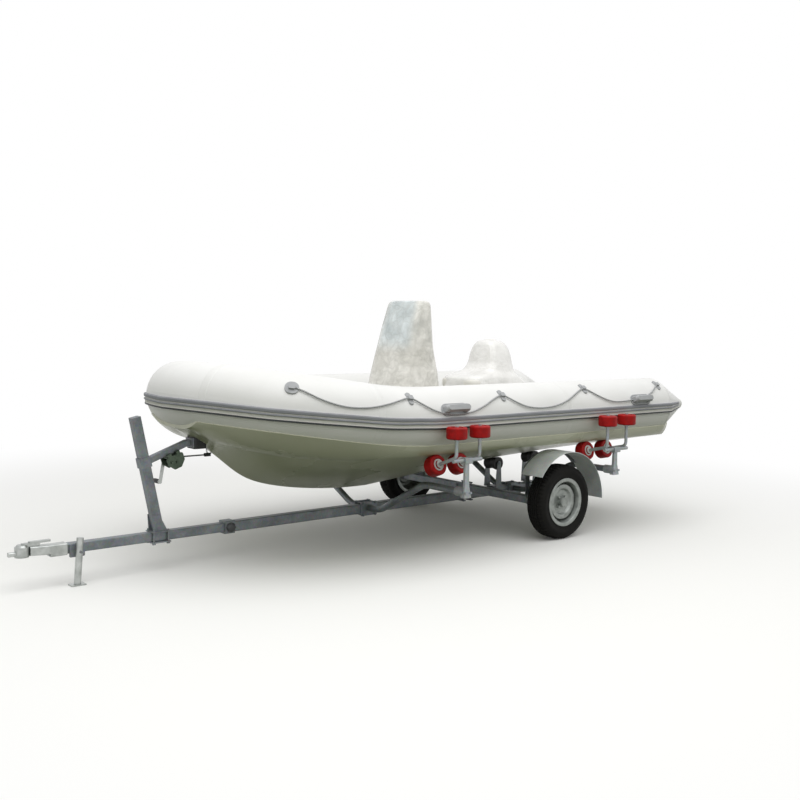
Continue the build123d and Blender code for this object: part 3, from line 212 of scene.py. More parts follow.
def rounded(profile, radius, steps=4):
    """A profile with its corners cut by short arcs, each tangent at the same distance from its corner."""
    profile = np.asarray(profile, float)
    before = profile[:-2] - profile[1:-1]
    after = profile[2:] - profile[1:-1]
    long_a = np.linalg.norm(before, axis=1, keepdims=True)
    long_b = np.linalg.norm(after, axis=1, keepdims=True)
    cut = np.minimum(radius, 0.45 * np.minimum(long_a, long_b))
    start = profile[1:-1] + before / long_a * cut
    end = profile[1:-1] + after / long_b * cut
    t = np.linspace(0, 1, steps)[None, :, None]
    curve = (1 - t) ** 2 * start[:, None] + 2 * t * (1 - t) * profile[1:-1, None] + t**2 * end[:, None]
    return np.concatenate([profile[:1], curve.reshape(-1, 2), profile[-1:]])


def creases(u, v, seed, count, low, high):
    """Wrinkle field from 0 to 1: ridges of several plane waves, each bent by another and drawn narrow."""
    draw = np.random.default_rng(seed)
    total = np.zeros(np.broadcast(u, v).shape)
    for angle, pitch, phase, bend in draw.random((count, 4)):
        a = angle * math.pi
        wave = low + pitch * (high - low)
        along = u * math.cos(a) + v * math.sin(a)
        across = -u * math.sin(a) + v * math.cos(a)
        swing = 0.5 * np.sin(across * wave * 0.37 + 9 * bend)
        total = total + (1 - np.abs(np.sin(along * wave + 6.3 * phase + swing))) ** 3
    return total / count


# Finishes


def srgb(hexes):
    """Linear colour of an sRGB hex value."""
    parts = [int(hexes[i : i + 2], 16) / 255 for i in (0, 2, 4)]
    return tuple(c / 12.92 if c <= 0.04045 else ((c + 0.055) / 1.055) ** 2.4 for c in parts) + (1.0,)


def plug(made, ins):
    """Set each input of a node, or link it where the value is another node's output."""
    for socket, value in ins.items():
        if isinstance(value, bpy.types.NodeSocket):
            made.id_data.links.new(value, made.inputs[socket])
        else:
            made.inputs[socket].default_value = value


def node(tree, kind, ins=None, **fields):
    """Add a node with its fields, and set or link its inputs."""
    made = tree.nodes.new(kind)
    for field, value in fields.items():
        setattr(made, field, value)
    plug(made, ins or {})
    return made


def finish(name, **sockets):
    """New material with one principled shader, its tree and the Object coordinates."""
    made = bpy.data.materials.new(name)
    made.use_nodes = True
    tree = made.node_tree
    tree.nodes.clear()
    shader = node(tree, "ShaderNodeBsdfPrincipled", {k.replace("_", " "): v for k, v in sockets.items()})
    node(tree, "ShaderNodeOutputMaterial", {"Surface": shader.outputs[0]})
    place = node(tree, "ShaderNodeTexCoord").outputs["Object"]
    return made, tree, shader, place


# Half the range about its middle that a noise pattern mostly keeps to
NOISE_SPREAD = 0.22


def mottled(tree, place, size, low, high, detail=3.0):
    """Soft patches of two colours, about size metres across."""
    grain = {"Scale": 1 / size, "Detail": detail}
    noise = node(tree, "ShaderNodeTexNoise", {"Vector": place, **grain}).outputs["Fac"]
    ends = {"From Min": 0.5 - NOISE_SPREAD, "From Max": 0.5 + NOISE_SPREAD}
    share = node(tree, "ShaderNodeMapRange", {"Value": noise, **ends})
    mix = node(tree, "ShaderNodeMix", {0: share.outputs[0], 6: srgb(low), 7: srgb(high)}, data_type="RGBA")
    return mix.outputs[2], noise


def coated_fabric(tones):
    """PVC-coated polyester: satin white, faint woven grain under the coat, slow tone change over a panel.

    The 1 mm weave is drawn at 4 mm so that it shows.
    """
    made, tree, shader, place = finish("coated_fabric", Roughness=0.42, IOR=1.5)
    colour, _ = mottled(tree, place, 0.45, tones.tube_shade, tones.tube)
    weave = node(tree, "ShaderNodeTexNoise", {"Vector": place, "Scale": 250.0, "Detail": 2.0}).outputs["Fac"]
    slack = node(tree, "ShaderNodeTexNoise", {"Vector": place, "Scale": 3.0, "Detail": 1.0}).outputs["Fac"]
    height = node(tree, "ShaderNodeMath", {0: weave, 1: 0.06, 2: slack}, operation="MULTIPLY_ADD").outputs[0]
    bump = node(tree, "ShaderNodeBump", {"Height": height, "Distance": 0.004, "Strength": 0.5})
    plug(shader, {"Base Color": colour, "Normal": bump.outputs[0]})
    return made


def moulded_rubber(name, low, high, rough=0.62):
    """Rubber or plastic from a mould or die: matt, slightly uneven tone, pebbled skin.

    The half-millimetre pebble is drawn at 3 mm so that it shows.
    """
    made, tree, shader, place = finish(name, Roughness=rough, IOR=1.52)
    colour, _ = mottled(tree, place, 0.12, low, high)
    pebble = node(tree, "ShaderNodeTexVoronoi", {"Vector": place, "Scale": 330.0}).outputs["Distance"]
    bump = node(tree, "ShaderNodeBump", {"Height": pebble, "Distance": 0.0006, "Strength": 0.4})
    plug(shader, {"Base Color": colour, "Normal": bump.outputs[0]})
    return made


def gelcoat(name, low, high):
    """Polyester gelcoat from a mould: hard gloss, very slight waviness, faint chalking in wide clouds."""
    gloss = {"Specular_IOR_Level": 0.4, "Coat_Weight": 0.12, "Coat_Roughness": 0.08}
    made, tree, shader, place = finish(name, IOR=1.54, **gloss)
    colour, cloud = mottled(tree, place, 0.6, low, high, detail=4.0)
    rough = node(tree, "ShaderNodeMapRange", {"Value": cloud, "To Min": 0.20, "To Max": 0.36})
    wave = node(tree, "ShaderNodeTexNoise", {"Vector": place, "Scale": 4.0, "Detail": 1.0}).outputs["Fac"]
    bump = node(tree, "ShaderNodeBump", {"Height": wave, "Distance": 0.004, "Strength": 0.4})
    plug(shader, {"Base Color": colour, "Roughness": rough.outputs[0], "Normal": bump.outputs[0]})
    return made


def nonslip_deck():
    """Moulded non-slip deck: pale grey gelcoat with raised 12 mm dots."""
    made, tree, shader, place = finish("moulded_nonslip_deck", Roughness=0.5, IOR=1.5)
    colour, _ = mottled(tree, place, 0.3, "c9cac6", "d6d7d3")
    rows = {"Scale": 85.0, "Randomness": 0.0}
    dots = node(tree, "ShaderNodeTexVoronoi", {"Vector": place, **rows}).outputs["Distance"]
    bump = node(tree, "ShaderNodeBump", {"Height": dots, "Distance": 0.002, "Strength": 0.5})
    plug(shader, {"Base Color": colour, "Normal": bump.outputs[0]})
    return made


def braided_rope():
    """Braided polypropylene rope: pale grey, crossing strands of about 8 mm along and round it, on its UVs."""
    made, tree, shader, _ = finish("braided_rope", Roughness=0.75, IOR=1.49, Sheen_Weight=0.2)
    strands = node(tree, "ShaderNodeTexCoord").outputs["UV"]
    lay = node(tree, "ShaderNodeMapping", {"Vector": strands, "Scale": (470.0, 4.0, 1.0)}).outputs[0]
    tones = {"Color1": srgb("b9babb"), "Color2": srgb("8f9193")}
    cells = node(tree, "ShaderNodeTexChecker", {"Vector": lay, "Scale": 1.0, **tones}).outputs
    bump = node(tree, "ShaderNodeBump", {"Height": cells["Fac"], "Distance": 0.0008, "Strength": 0.6})
    plug(shader, {"Base Color": cells["Color"], "Normal": bump.outputs[0]})
    return made


def galvanised_steel(name, low, high):
    """Hot-dip galvanised steel: dull blue-grey zinc with 12 mm spangle, duller and darker where weathered."""
    made, tree, shader, place = finish(name, Metallic=0.55)
    spangle = node(tree, "ShaderNodeTexVoronoi", {"Vector": place, "Scale": 85.0}).outputs["Color"]
    colour, cloud = mottled(tree, place, 0.10, low, high, detail=5.0)
    kind = {"data_type": "RGBA", "blend_type": "SOFT_LIGHT"}
    flecks = node(tree, "ShaderNodeMix", {0: 0.16, 6: colour, 7: spangle}, **kind)
    rough = node(tree, "ShaderNodeMapRange", {"Value": cloud, "To Min": 0.38, "To Max": 0.62})
    bump = node(tree, "ShaderNodeBump", {"Height": cloud, "Distance": 0.0015, "Strength": 0.5})
    plug(shader, {"Base Color": flecks.outputs[2], "Roughness": rough.outputs[0], "Normal": bump.outputs[0]})
    return made


def plated_steel(name, low, high, rough):
    """Zinc-plated or polished steel: bright, faint drawn lines, set 3 mm apart so that they show."""
    made, tree, shader, place = finish(name, Metallic=0.9)
    colour, cloud = mottled(tree, place, 0.05, low, high)
    worn = node(tree, "ShaderNodeMapRange", {"Value": cloud, "To Min": rough - 0.08, "To Max": rough + 0.08})
    drawn = node(tree, "ShaderNodeMapping", {"Vector": place, "Scale": (12.0, 330.0, 330.0)}).outputs[0]
    lines = node(tree, "ShaderNodeTexNoise", {"Vector": drawn, "Scale": 1.0}).outputs["Fac"]
    bump = node(tree, "ShaderNodeBump", {"Height": lines, "Distance": 0.0004, "Strength": 0.3})
    plug(shader, {"Base Color": colour, "Roughness": worn.outputs[0], "Normal": bump.outputs[0]})
    return made


def cast_urethane(tones):
    """Cast polyurethane: saturated red, satin, scuffed paler in patches about 30 mm across."""
    made, tree, shader, place = finish("cast_urethane", IOR=1.5, Specular_IOR_Level=0.25)
    colour, cloud = mottled(tree, place, 0.03, tones.roller_shade, tones.roller)
    rough = node(tree, "ShaderNodeMapRange", {"Value": cloud, "To Min": 0.42, "To Max": 0.6})
    bump = node(tree, "ShaderNodeBump", {"Height": cloud, "Distance": 0.0006, "Strength": 0.4})
    plug(shader, {"Base Color": colour, "Roughness": rough.outputs[0], "Normal": bump.outputs[0]})
    return made


# Heights in metres between which the film comes to lie against the screen, and between which it is doubled
SCREEN_BACKED = (1.36, 1.50)
FILM_DOUBLED = (1.30, 1.16)
# Shares of the way round, from the middle of its front, between which the film leaves the screen
SCREEN_SIDE = (0.17, 0.06)


def wrapping_film(name, low, high, clear, cool):
    """Thin polythene wrapping film: cloudy, half clear, glossy on every crease.

    Where its front lies against the tinted screen it takes a cool cast, by the share given; U runs round the
    piece from its front. Grey lines along the folds are painted shade in the creases, scaled by the same
    share, and low down it lies doubled and paler.
    """
    made, tree, shader, place = finish(name, Roughness=0.22, IOR=1.5, Coat_Weight=0.5, Coat_Roughness=0.12)
    eased = {"interpolation_type": "SMOOTHSTEP"}
    colour, cloud = mottled(tree, place, 0.11, low, high)
    height = node(tree, "ShaderNodeSeparateXYZ", {0: place}).outputs["Z"]
    ends = {"From Min": SCREEN_BACKED[0], "From Max": SCREEN_BACKED[1], "To Max": cool}
    cast = node(tree, "ShaderNodeMapRange", {"Value": height, **ends}, **eased).outputs[0]
    turn = node(tree, "ShaderNodeTexCoord").outputs["UV"]
    round_it = node(tree, "ShaderNodeSeparateXYZ", {0: turn}).outputs["X"]
    aside = node(tree, "ShaderNodeMath", {0: round_it, 1: 0.5}, operation="PINGPONG").outputs[0]
    ends = {"From Min": SCREEN_SIDE[0], "From Max": SCREEN_SIDE[1]}
    front = node(tree, "ShaderNodeMapRange", {"Value": aside, **ends}, **eased).outputs[0]
    both = node(tree, "ShaderNodeMath", {0: cast, 1: front}, operation="MULTIPLY").outputs[0]
    lean = node(tree, "ShaderNodeMix", {0: both, 6: colour, 7: srgb("e2eef2")}, data_type="RGBA").outputs[2]
    ends = {"From Min": FILM_DOUBLED[0], "From Max": FILM_DOUBLED[1], "To Max": 0.7 * cool}
    doubled = node(tree, "ShaderNodeMapRange", {"Value": height, **ends}, **eased).outputs[0]
    pale = node(tree, "ShaderNodeMix", {0: doubled, 6: lean, 7: srgb(high)}, data_type="RGBA").outputs[2]
    drift = node(tree, "ShaderNodeTexNoise", {"Vector": place, "Scale": 9.0, "Detail": 2.0}).outputs["Color"]
    bent = node(tree, "ShaderNodeMix", {0: 0.12, 4: place, 5: drift}, data_type="VECTOR").outputs[1]
    cells = {"Vector": bent, "Scale": 17.0, "Detail": 2.0}
    crinkle = node(tree, "ShaderNodeTexVoronoi", cells, feature="DISTANCE_TO_EDGE").outputs["Distance"]
    # Painted shade: along the crinkle's cell edges the colour turns grey, standing in for shade in the creases
    ends = {"From Max": 0.16, "To Min": 0.34 * cool, "To Max": 0.0}
    fold = node(tree, "ShaderNodeMapRange", {"Value": crinkle, **ends}, **eased).outputs[0]
    crease_shaded = node(tree, "ShaderNodeMix", {0: fold, 6: pale, 7: srgb("b4b3aa")}, data_type="RGBA").outputs[2]
    ends = {"From Min": 0.3, "From Max": 0.7, "To Min": clear, "To Max": 0.96}
    haze = node(tree, "ShaderNodeMapRange", {"Value": cloud, **ends}).outputs[0]
    bump = node(tree, "ShaderNodeBump", {"Height": crinkle, "Distance": 0.016, "Strength": 0.7}).outputs[0]
    plug(shader, {"Base Color": crease_shaded, "Alpha": haze, "Normal": bump})
    return made


def tinted_acrylic():
    """Cast acrylic screen: blue-grey tint, clear, very smooth."""
    made, tree, shader, place = finish("cast_tinted_acrylic", Roughness=0.06, IOR=1.49, Alpha=0.62)
    colour, _ = mottled(tree, place, 0.2, "a9c6d0", "bcd6dc")
    plug(shader, {"Base Color": colour})
    return made


def seat_vinyl():
    """Embossed marine vinyl over foam: warm white, leather grain.

    The 1 mm grain is drawn at 3 mm so that it shows.
    """
    made, tree, shader, place = finish("embossed_seat_vinyl", Roughness=0.5, IOR=1.5)
    colour, _ = mottled(tree, place, 0.2, "dedcd4", "e8e6df")
    grain = node(tree, "ShaderNodeTexVoronoi", {"Vector": place, "Scale": 330.0}).outputs["Distance"]
    bump = node(tree, "ShaderNodeBump", {"Height": grain, "Distance": 0.0005, "Strength": 0.5})
    plug(shader, {"Base Color": colour, "Normal": bump.outputs[0]})
    return made


def tyre_rubber():
    """Vulcanised tyre rubber: near black, matt, browner where dusty in patches of about 60 mm."""
    dull = {"Roughness": 0.82, "Specular_IOR_Level": 0.2}
    made, tree, shader, place = finish("vulcanised_tyre_rubber", IOR=1.52, **dull)
    colour, cloud = mottled(tree, place, 0.06, "0c0c0c", "181714", detail=5.0)
    bump = node(tree, "ShaderNodeBump", {"Height": cloud, "Distance": 0.001, "Strength": 0.4})
    plug(shader, {"Base Color": colour, "Normal": bump.outputs[0]})
    return made


def wheel_silver():
    """Sprayed silver wheel paint: metal flake in lacquer, dull with road dust in patches of about 40 mm."""
    made, tree, shader, place = finish("sprayed_wheel_silver", Metallic=0.7)
    colour, cloud = mottled(tree, place, 0.04, "828783", "a8aca9", detail=4.0)
    rough = node(tree, "ShaderNodeMapRange", {"Value": cloud, "To Min": 0.30, "To Max": 0.48})
    plug(shader, {"Base Color": colour, "Roughness": rough.outputs[0]})
    return made


def woven_webbing():
    """Woven polyester webbing: near black, 4 mm ribs across its width."""
    made, tree, shader, place = finish("woven_webbing", Roughness=0.8, IOR=1.5, Sheen_Weight=0.2)
    ribs = node(tree, "ShaderNodeTexWave", {"Vector": place, "Scale": 40.0}, bands_direction="X").outputs["Fac"]
    mix = node(tree, "ShaderNodeMix", {0: ribs, 6: srgb("151719"), 7: srgb("2b2f2e")}, data_type="RGBA")
    bump = node(tree, "ShaderNodeBump", {"Height": ribs, "Distance": 0.0008, "Strength": 0.6})
    plug(shader, {"Base Color": mix.outputs[2], "Normal": bump.outputs[0]})
    return made


def dress(material, *names):
    """Give CAD nodes a finish."""
    for name in names:
        slots = NODES[name].data.materials
        slots.clear()
        slots.append(material)


# What a user may change


class BoatTones(bpy.types.PropertyGroup):
    """Colours as sRGB hex values."""

    tube: StringProperty(name="Tube", description="Coated fabric of the tubes", default="ececea")
    tube_shade: StringProperty(name="Tube shade", description="Duller patches of the fabric", default="e4e4e1")
    hull: StringProperty(name="Hull", description="Gelcoat", default="d7d8c4")
    hull_shade: StringProperty(name="Hull shade", description="Chalked gelcoat", default="cacbb4")
    strake: StringProperty(name="Strake", description="Wide band of the rub strake", default="85878c")
    strake_line: StringProperty(name="Strake line", description="Thin band of the rub strake", default="2a2c30")
    steel: StringProperty(name="Steel", description="Galvanised steel", default="8f9498")
    steel_shade: StringProperty(name="Steel shade", description="Weathered galvanised steel", default="6d7377")
    roller: StringProperty(name="Roller", description="Cast rollers", default="b5100f")
    roller_shade: StringProperty(name="Roller shade", description="Scuffed rollers", default="8f0b0c")


class BoatSizes(bpy.types.PropertyGroup):
    """Sizes of the dressed pieces and level of the light."""

    rope: FloatProperty(name="Rope", description="Lifeline diameter", default=0.011, unit="LENGTH")
    seam: FloatProperty(name="Seam", description="Width of a seam tape", default=0.045, unit="LENGTH")
    lens: FloatProperty(name="Lens", description="Camera focal length in millimetres", default=45.375)
    key: FloatProperty(name="Key light", description="Overhead light", default=290.0, unit="POWER")
    fill: FloatProperty(name="Sky", description="Strength of the sky light", default=0.69)


# Pieces

# Camera of the photograph: place in metres, then heading, pitch and roll in degrees
EYE = (4.736, 5.864, 1.619)
HEADING = (229.82, -4.5, 0.95)
SENSOR = 36.0
LAMP_SIZE = (9.0, 7.0)
LAMP_PLACE = (1.0, 2.2, 6.5)
LAMP_TILT = (-18.0, 8.0, 0.0)
# Radii of the floor's rings, and those between which it fades into the sky
FLOOR_RINGS = (0.0, 4.0, 8.0, 16.0, 40.0)
FLOOR_FADE = (2.2, 6.5)


def looked_at(tree):
    """One where a ray comes from the eye, straight or by way of a glossy or clear surface."""
    path = node(tree, "ShaderNodeLightPath").outputs
    near = {0: path["Is Camera Ray"], 1: path["Is Glossy Ray"]}
    glossy = node(tree, "ShaderNodeMath", near, operation="MAXIMUM").outputs[0]
    clear = {0: glossy, 1: path["Is Transmission Ray"]}
    return node(tree, "ShaderNodeMath", clear, operation="MAXIMUM").outputs[0]


class BOAT_OT_stage(bpy.types.Operator):
    """Camera, floor, sky and lamp."""

    bl_idname = "boat.stage"
    bl_label = "Stage"

    def execute(self, context):
        sizes = context.scene.boat_sizes
        scene = context.scene
        scene.view_settings.view_transform = "Standard"
        self.aim(scene, sizes.lens)

        lamp = bpy.data.lights.new("overhead", "AREA")
        lamp.shape = "RECTANGLE"
        lamp.size, lamp.size_y = LAMP_SIZE
        lamp.energy = sizes.key
        hung = bpy.data.objects.new("overhead", lamp)
        hung.location = LAMP_PLACE
        hung.rotation_euler = [math.radians(a) for a in LAMP_TILT]
        scene.collection.objects.link(hung)

        world = bpy.data.worlds.new("sky")
        scene.world = world
        world.use_nodes = True
        tree = world.node_tree
        tree.nodes.clear()
        level = {"To Min": sizes.fill, "To Max": 1.0}
        power = node(tree, "ShaderNodeMapRange", {"Value": looked_at(tree), **level})
        sky = node(tree, "ShaderNodeBackground", {"Color": srgb("ffffff"), "Strength": power.outputs[0]})
        node(tree, "ShaderNodeOutputWorld", {"Surface": sky.outputs[0]})

        a = np.linspace(0, 2 * math.pi, 64, endpoint=False)[:, None]
        r = np.array(FLOOR_RINGS)
        ring = np.stack([np.cos(a) * r, np.sin(a) * r, 0 * a * r], -1)
        floor = surface("floor", [patch(ring, wrap_u=True)], [self.floor_paint()], outward=False)
        return {"FINISHED"}

    @staticmethod
    def aim(scene, lens):
        """Camera at the photographer's eye, turned by heading, pitch and roll."""
        yaw, pitch, roll = (math.radians(a) for a in HEADING)
        level = math.cos(pitch)
        ahead = Vector((math.cos(yaw) * level, math.sin(yaw) * level, math.sin(pitch)))
        flat = ahead.cross(Vector((0, 0, 1))).normalized()
        rise = flat.cross(ahead)
        right = flat * math.cos(roll) + rise * math.sin(roll)
        up = rise * math.cos(roll) - flat * math.sin(roll)
        camera = bpy.data.cameras.new("camera")
        camera.lens = lens
        camera.sensor_width = SENSOR
        camera.clip_end = 200.0
        seat = bpy.data.objects.new("camera", camera)
        seat.matrix_world = Matrix((right, up, -ahead)).transposed().to_4x4()
        seat.location = EYE
        scene.collection.objects.link(seat)
        scene.camera = seat

    @staticmethod
    def floor_paint():
        """Pale floor that fades into the white sky; it throws light back on the boat as short turf does."""
        made, tree, shader, place = finish("floor_paint", Roughness=0.9, Specular_IOR_Level=0.1)
        seen = looked_at(tree)
        tone = node(tree, "ShaderNodeMix", {0: seen, 6: srgb("525a38"), 7: srgb("f4f4f1")}, data_type="RGBA")
        plug(shader, {"Base Color": tone.outputs[2]})
        far = node(tree, "ShaderNodeVectorMath", {0: place}, operation="LENGTH").outputs["Value"]
        ends = {"From Min": FLOOR_FADE[0], "From Max": FLOOR_FADE[1]}
        fade = node(tree, "ShaderNodeMapRange", {"Value": far, **ends}, interpolation_type="SMOOTHSTEP")
        share = node(tree, "ShaderNodeMath", {0: fade.outputs[0], 1: seen}, operation="MULTIPLY")
        white = node(tree, "ShaderNodeEmission", {"Color": srgb("ffffff"), "Strength": 1.0})
        ends = {1: shader.outputs[0], 2: white.outputs[0]}
        mix = node(tree, "ShaderNodeMixShader", {0: share.outputs[0], **ends})
        output = next(n for n in tree.nodes if n.type == "OUTPUT_MATERIAL")
        plug(output, {"Surface": mix.outputs[0]})
        return made


# Lifeline: length along the tube in metres and turn above its widest line in degrees
ROPE = [
    (0.088, 52), (0.150, 42), (0.250, 29.5), (0.370, 23), (0.510, 19.5), (0.650, 17.5), (0.780, 19.5),
    (0.910, 32), (1.017, 52), (1.140, 39.5), (1.280, 24.5), (1.430, 16.5), (1.585, 15), (1.730, 19),
    (1.840, 31.5), (1.920, 45), (2.020, 37), (2.140, 24), (2.280, 14.6), (2.430, 13), (2.580, 18.5),
    (2.695, 31), (2.786, 44), (2.890, 36), (3.000, 27), (3.130, 17), (3.260, 13.2), (3.380, 20),
    (3.460, 30), (3.540, 37),
]
ROPE_OFF = 0.007


class BOAT_OT_lifelines(bpy.types.Operator):
    """Lifeline rope along each side, one smooth curve through its holders."""

    bl_idname = "boat.lifelines"
    bl_label = "Lifelines"

    def execute(self, context):
        thick = context.scene.boat_sizes.rope
        rope = braided_rope()
        table = np.array(ROPE)
        for word, side in SIDES:
            s = table[:, 0] if side > 0 else 2 * HALF_RUN - table[:, 0]
            points = on_skin(s, np.radians(table[:, 1]) * TUBE_R, thick / 2 + ROPE_OFF)
            curve = bpy.data.curves.new(f"rope_{word}", "CURVE")
            curve.dimensions = "3D"
            curve.bevel_depth = thick / 2
            curve.bevel_resolution = 3
            curve.resolution_u = 10
            curve.use_fill_caps = True
            run = curve.splines.new("NURBS")
            run.points.add(len(points) - 1)
            run.points.foreach_set("co", np.c_[points, np.ones(len(points))].ravel())
            run.order_u = 3
            run.use_endpoint_u = True
            curve.materials.append(rope)
            piece = bpy.data.objects.new(f"rope_{word}", curve)
            context.scene.collection.objects.link(piece)
            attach(piece, "frame")
            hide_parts(f"lifeline_{word}")
        return {"FINISHED"}


# Rub strake: share of its height up from the middle and distance off the skin, from the top edge down
STRAKE_TALL = 0.076
STRAKE_EDGE = [
    (0.50, -0.008), (0.50, 0.011), (0.42, 0.015), (0.22, 0.015), (0.17, 0.009), (0.10, 0.009), (0.05, 0.017),
    (-0.05, 0.017), (-0.10, 0.011), (-0.32, 0.011), (-0.37, 0.015), (-0.50, 0.013), (-0.50, -0.008),
]
STRAKE_ROUND = 0.0022
# Bands of colour: top share, bottom share, place in the list of materials
STRAKE_BANDS = [(0.50, 0.19, 0), (0.19, 0.10, 1), (0.10, -0.07, 0), (-0.07, -0.34, 1), (-0.34, -0.50, 2)]
# Drop of the strake: length past the straight side and turn in degrees
STRAKE_DROP = [(0.300, 0.0), (0.700, -4.5), (1.160, -11.0), (1.808, -15.0)]
# Run of the strake on the cone behind, and its share of the full size at the end
STRAKE_CONE = 0.300
STRAKE_TAPER = 0.7
# Heights closer than this count as one
HAIR = 1e-9


class BOAT_OT_strakes(bpy.types.Operator):
    """Striped rub strake: one extruded profile swept along the tube, dropping round the bow."""

    bl_idname = "boat.strakes"
    bl_label = "Rub strakes"

    def execute(self, context):
        tones = context.scene.boat_tones
        paints = [
            moulded_rubber("extruded_rubber_grey", tones.strake, "8e9095"),
            moulded_rubber("extruded_rubber_pale", "cfcfc9", "dad9d3"),
            moulded_rubber("extruded_rubber_black", tones.strake_line, "34363a"),
        ]
        joint = STRAIGHT + RISE
        cone = np.linspace(-STRAKE_CONE, 0, 8)
        straight = np.linspace(0, STRAIGHT, 14)[1:]
        side = np.concatenate([cone, straight, np.linspace(STRAIGHT, joint, 16)[1:]])
        for word, s in (
            ("port", side),
            ("bow", np.linspace(joint, 2 * HALF_RUN - joint, 121)),
            ("starboard", 2 * HALF_RUN - side),
        ):
            piece = surface(f"strake_{word}", self.bands(s), paints)
            sharpen(piece, 35)
            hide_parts(f"rub_strake_{word}")
        return {"FINISHED"}

    @staticmethod
    def strip(edge, top, low):
        """The part of the profile between two heights, cut where a band begins inside it."""
        end = 0.5 * STRAKE_TALL
        inside = (edge[:, 0] < top - HAIR) & (edge[:, 0] > low + HAIR)
        if top == end:
            inside |= edge[:, 0] >= top - HAIR
        if low == -end:
            inside |= edge[:, 0] <= low + HAIR
        kept = [edge[inside]]
        heights, offs = -edge[1:-1, 0], edge[1:-1, 1]
        if top < end:
            kept.insert(0, [(top, np.interp(-top, heights, offs))])
        if low > -end:
            kept.append([(low, np.interp(-low, heights, offs))])
        return np.vstack(kept)

    def bands(self, s):
        """Point = tube middle + normal times (radius + off) + rise times share of the height, band by band."""
        edge = rounded(np.array(STRAKE_EDGE) * (STRAKE_TALL, 1), STRAKE_ROUND)
        centre, out, up, radius = tube_path(s)
        m = np.minimum(s, 2 * HALF_RUN - s)
        drop = np.array(STRAKE_DROP)
        a = np.radians(np.interp(m - STRAIGHT, drop[:, 0], drop[:, 1]))[:, None]
        scale = np.interp(m, [-STRAKE_CONE, 0], [STRAKE_TAPER, 1.0])[:, None]
        normal = (out * np.cos(a) + up * np.sin(a))[:, None]
        rise = (up * np.cos(a) - out * np.sin(a))[:, None]
        patches = []
        for top, low, paint in STRAKE_BANDS:
            strip = self.strip(edge, top * STRAKE_TALL, low * STRAKE_TALL)
            reach = (radius[:, None] + strip[None, :, 1] * scale)[..., None]
            tall = (strip[None, :, 0] * scale)[..., None]
            patches.append(patch(centre[:, None] + normal * reach + rise * tall, slot=paint))
        return patches


# Seam tape: place along the tube, with the joints of the bow, and its section across
TAPE_PLACES = (0.0, 1.24, STRAIGHT + RISE, STRAIGHT + RISE + 0.76 * TUBE_Y * math.pi / 2)
TAPE_ACROSS = (-0.5, -0.47, -0.3, 0, 0.3, 0.47, 0.5)
TAPE_LIFT = (-0.3, 0.6, 1.0, 1.0, 1.0, 0.6, -0.3)


class BOAT_OT_tapes(bpy.types.Operator):
    """Tapes glued over the seams round the tubes: the skin's own rings, lifted by the tape's section."""

    bl_idname = "boat.tapes"
    bl_label = "Seam tapes"

    def execute(self, context):
        tones = context.scene.boat_tones
        wide = context.scene.boat_sizes.seam
        turn = np.linspace(-math.pi, math.pi, 96, endpoint=False)[:, None]
        lift = np.array(TAPE_LIFT)[None, :] * MM + 0 * turn
        patches = []
        for s in [*TAPE_PLACES, *(2 * HALF_RUN - s for s in TAPE_PLACES)]:
            length = s + np.array(TAPE_ACROSS)[None, :] * wide + 0 * turn
            arc = turn * tube_path(length)[3]
            patches.append(patch(on_skin(length, arc, lift), wrap_u=True))
        tape = moulded_rubber("glued_seam_tape", tones.tube_shade, tones.tube, 0.5)
        surface("seam_tapes", patches, [tape])
        return {"FINISHED"}


# Half sections of the wheel, radius and distance outboard of its middle, in millimetres
TREAD = [
    (156, 60), (170, 64), (185, 68.5), (188, 70.8), (193, 72), (197, 72.2), (212, 79), (222, 81), (225, 82.4),
    (240, 82.4), (243, 81), (258, 76), (268, 69), (274, 62), (278, 53), (279, 42), (279.3, 34.5), (273, 33.5),
    (273, 27), (279.8, 26), (280.3, 13), (273.5, 12), (273.5, 6), (280.5, 5),
]
CARCASS = [(168, 54), (190, 60), (214, 72), (236, 74), (256, 68), (268, 52), (270, 0)]
FACE = [
    (38.2, 26), (88, 26), (100, 46), (131, 46), (140, 2), (146, 14), (147, 40), (155, 71), (182, 74), (182, 68),
    (158, 62), (152, 26), (143, -8),
]
BACK = [
    (143, -8), (143, -40), (152, -52), (158, -66), (182, -70), (182, -75), (154, -72), (147, -56), (138, -42),
    (137, -8), (126, 38), (104, 38), (92, 20), (38.2, 20), (38.2, 26),
]
# Grooves across the shoulders: where they begin, how many there are and how deep
SHOULDER_R = 0.2725
SHOULDER_Y = 0.0255
GROOVES = 56
GROOVE_DEEP = 0.005
# Vents in the raised ring of the rim: radius of their middles, half length, half width and depth
VENTS = 8
VENT_R = 0.1155
VENT_ARC_R = 0.115
VENT_LONG = 0.021
VENT_WIDE = 0.0105
VENT_DEEP = 0.007


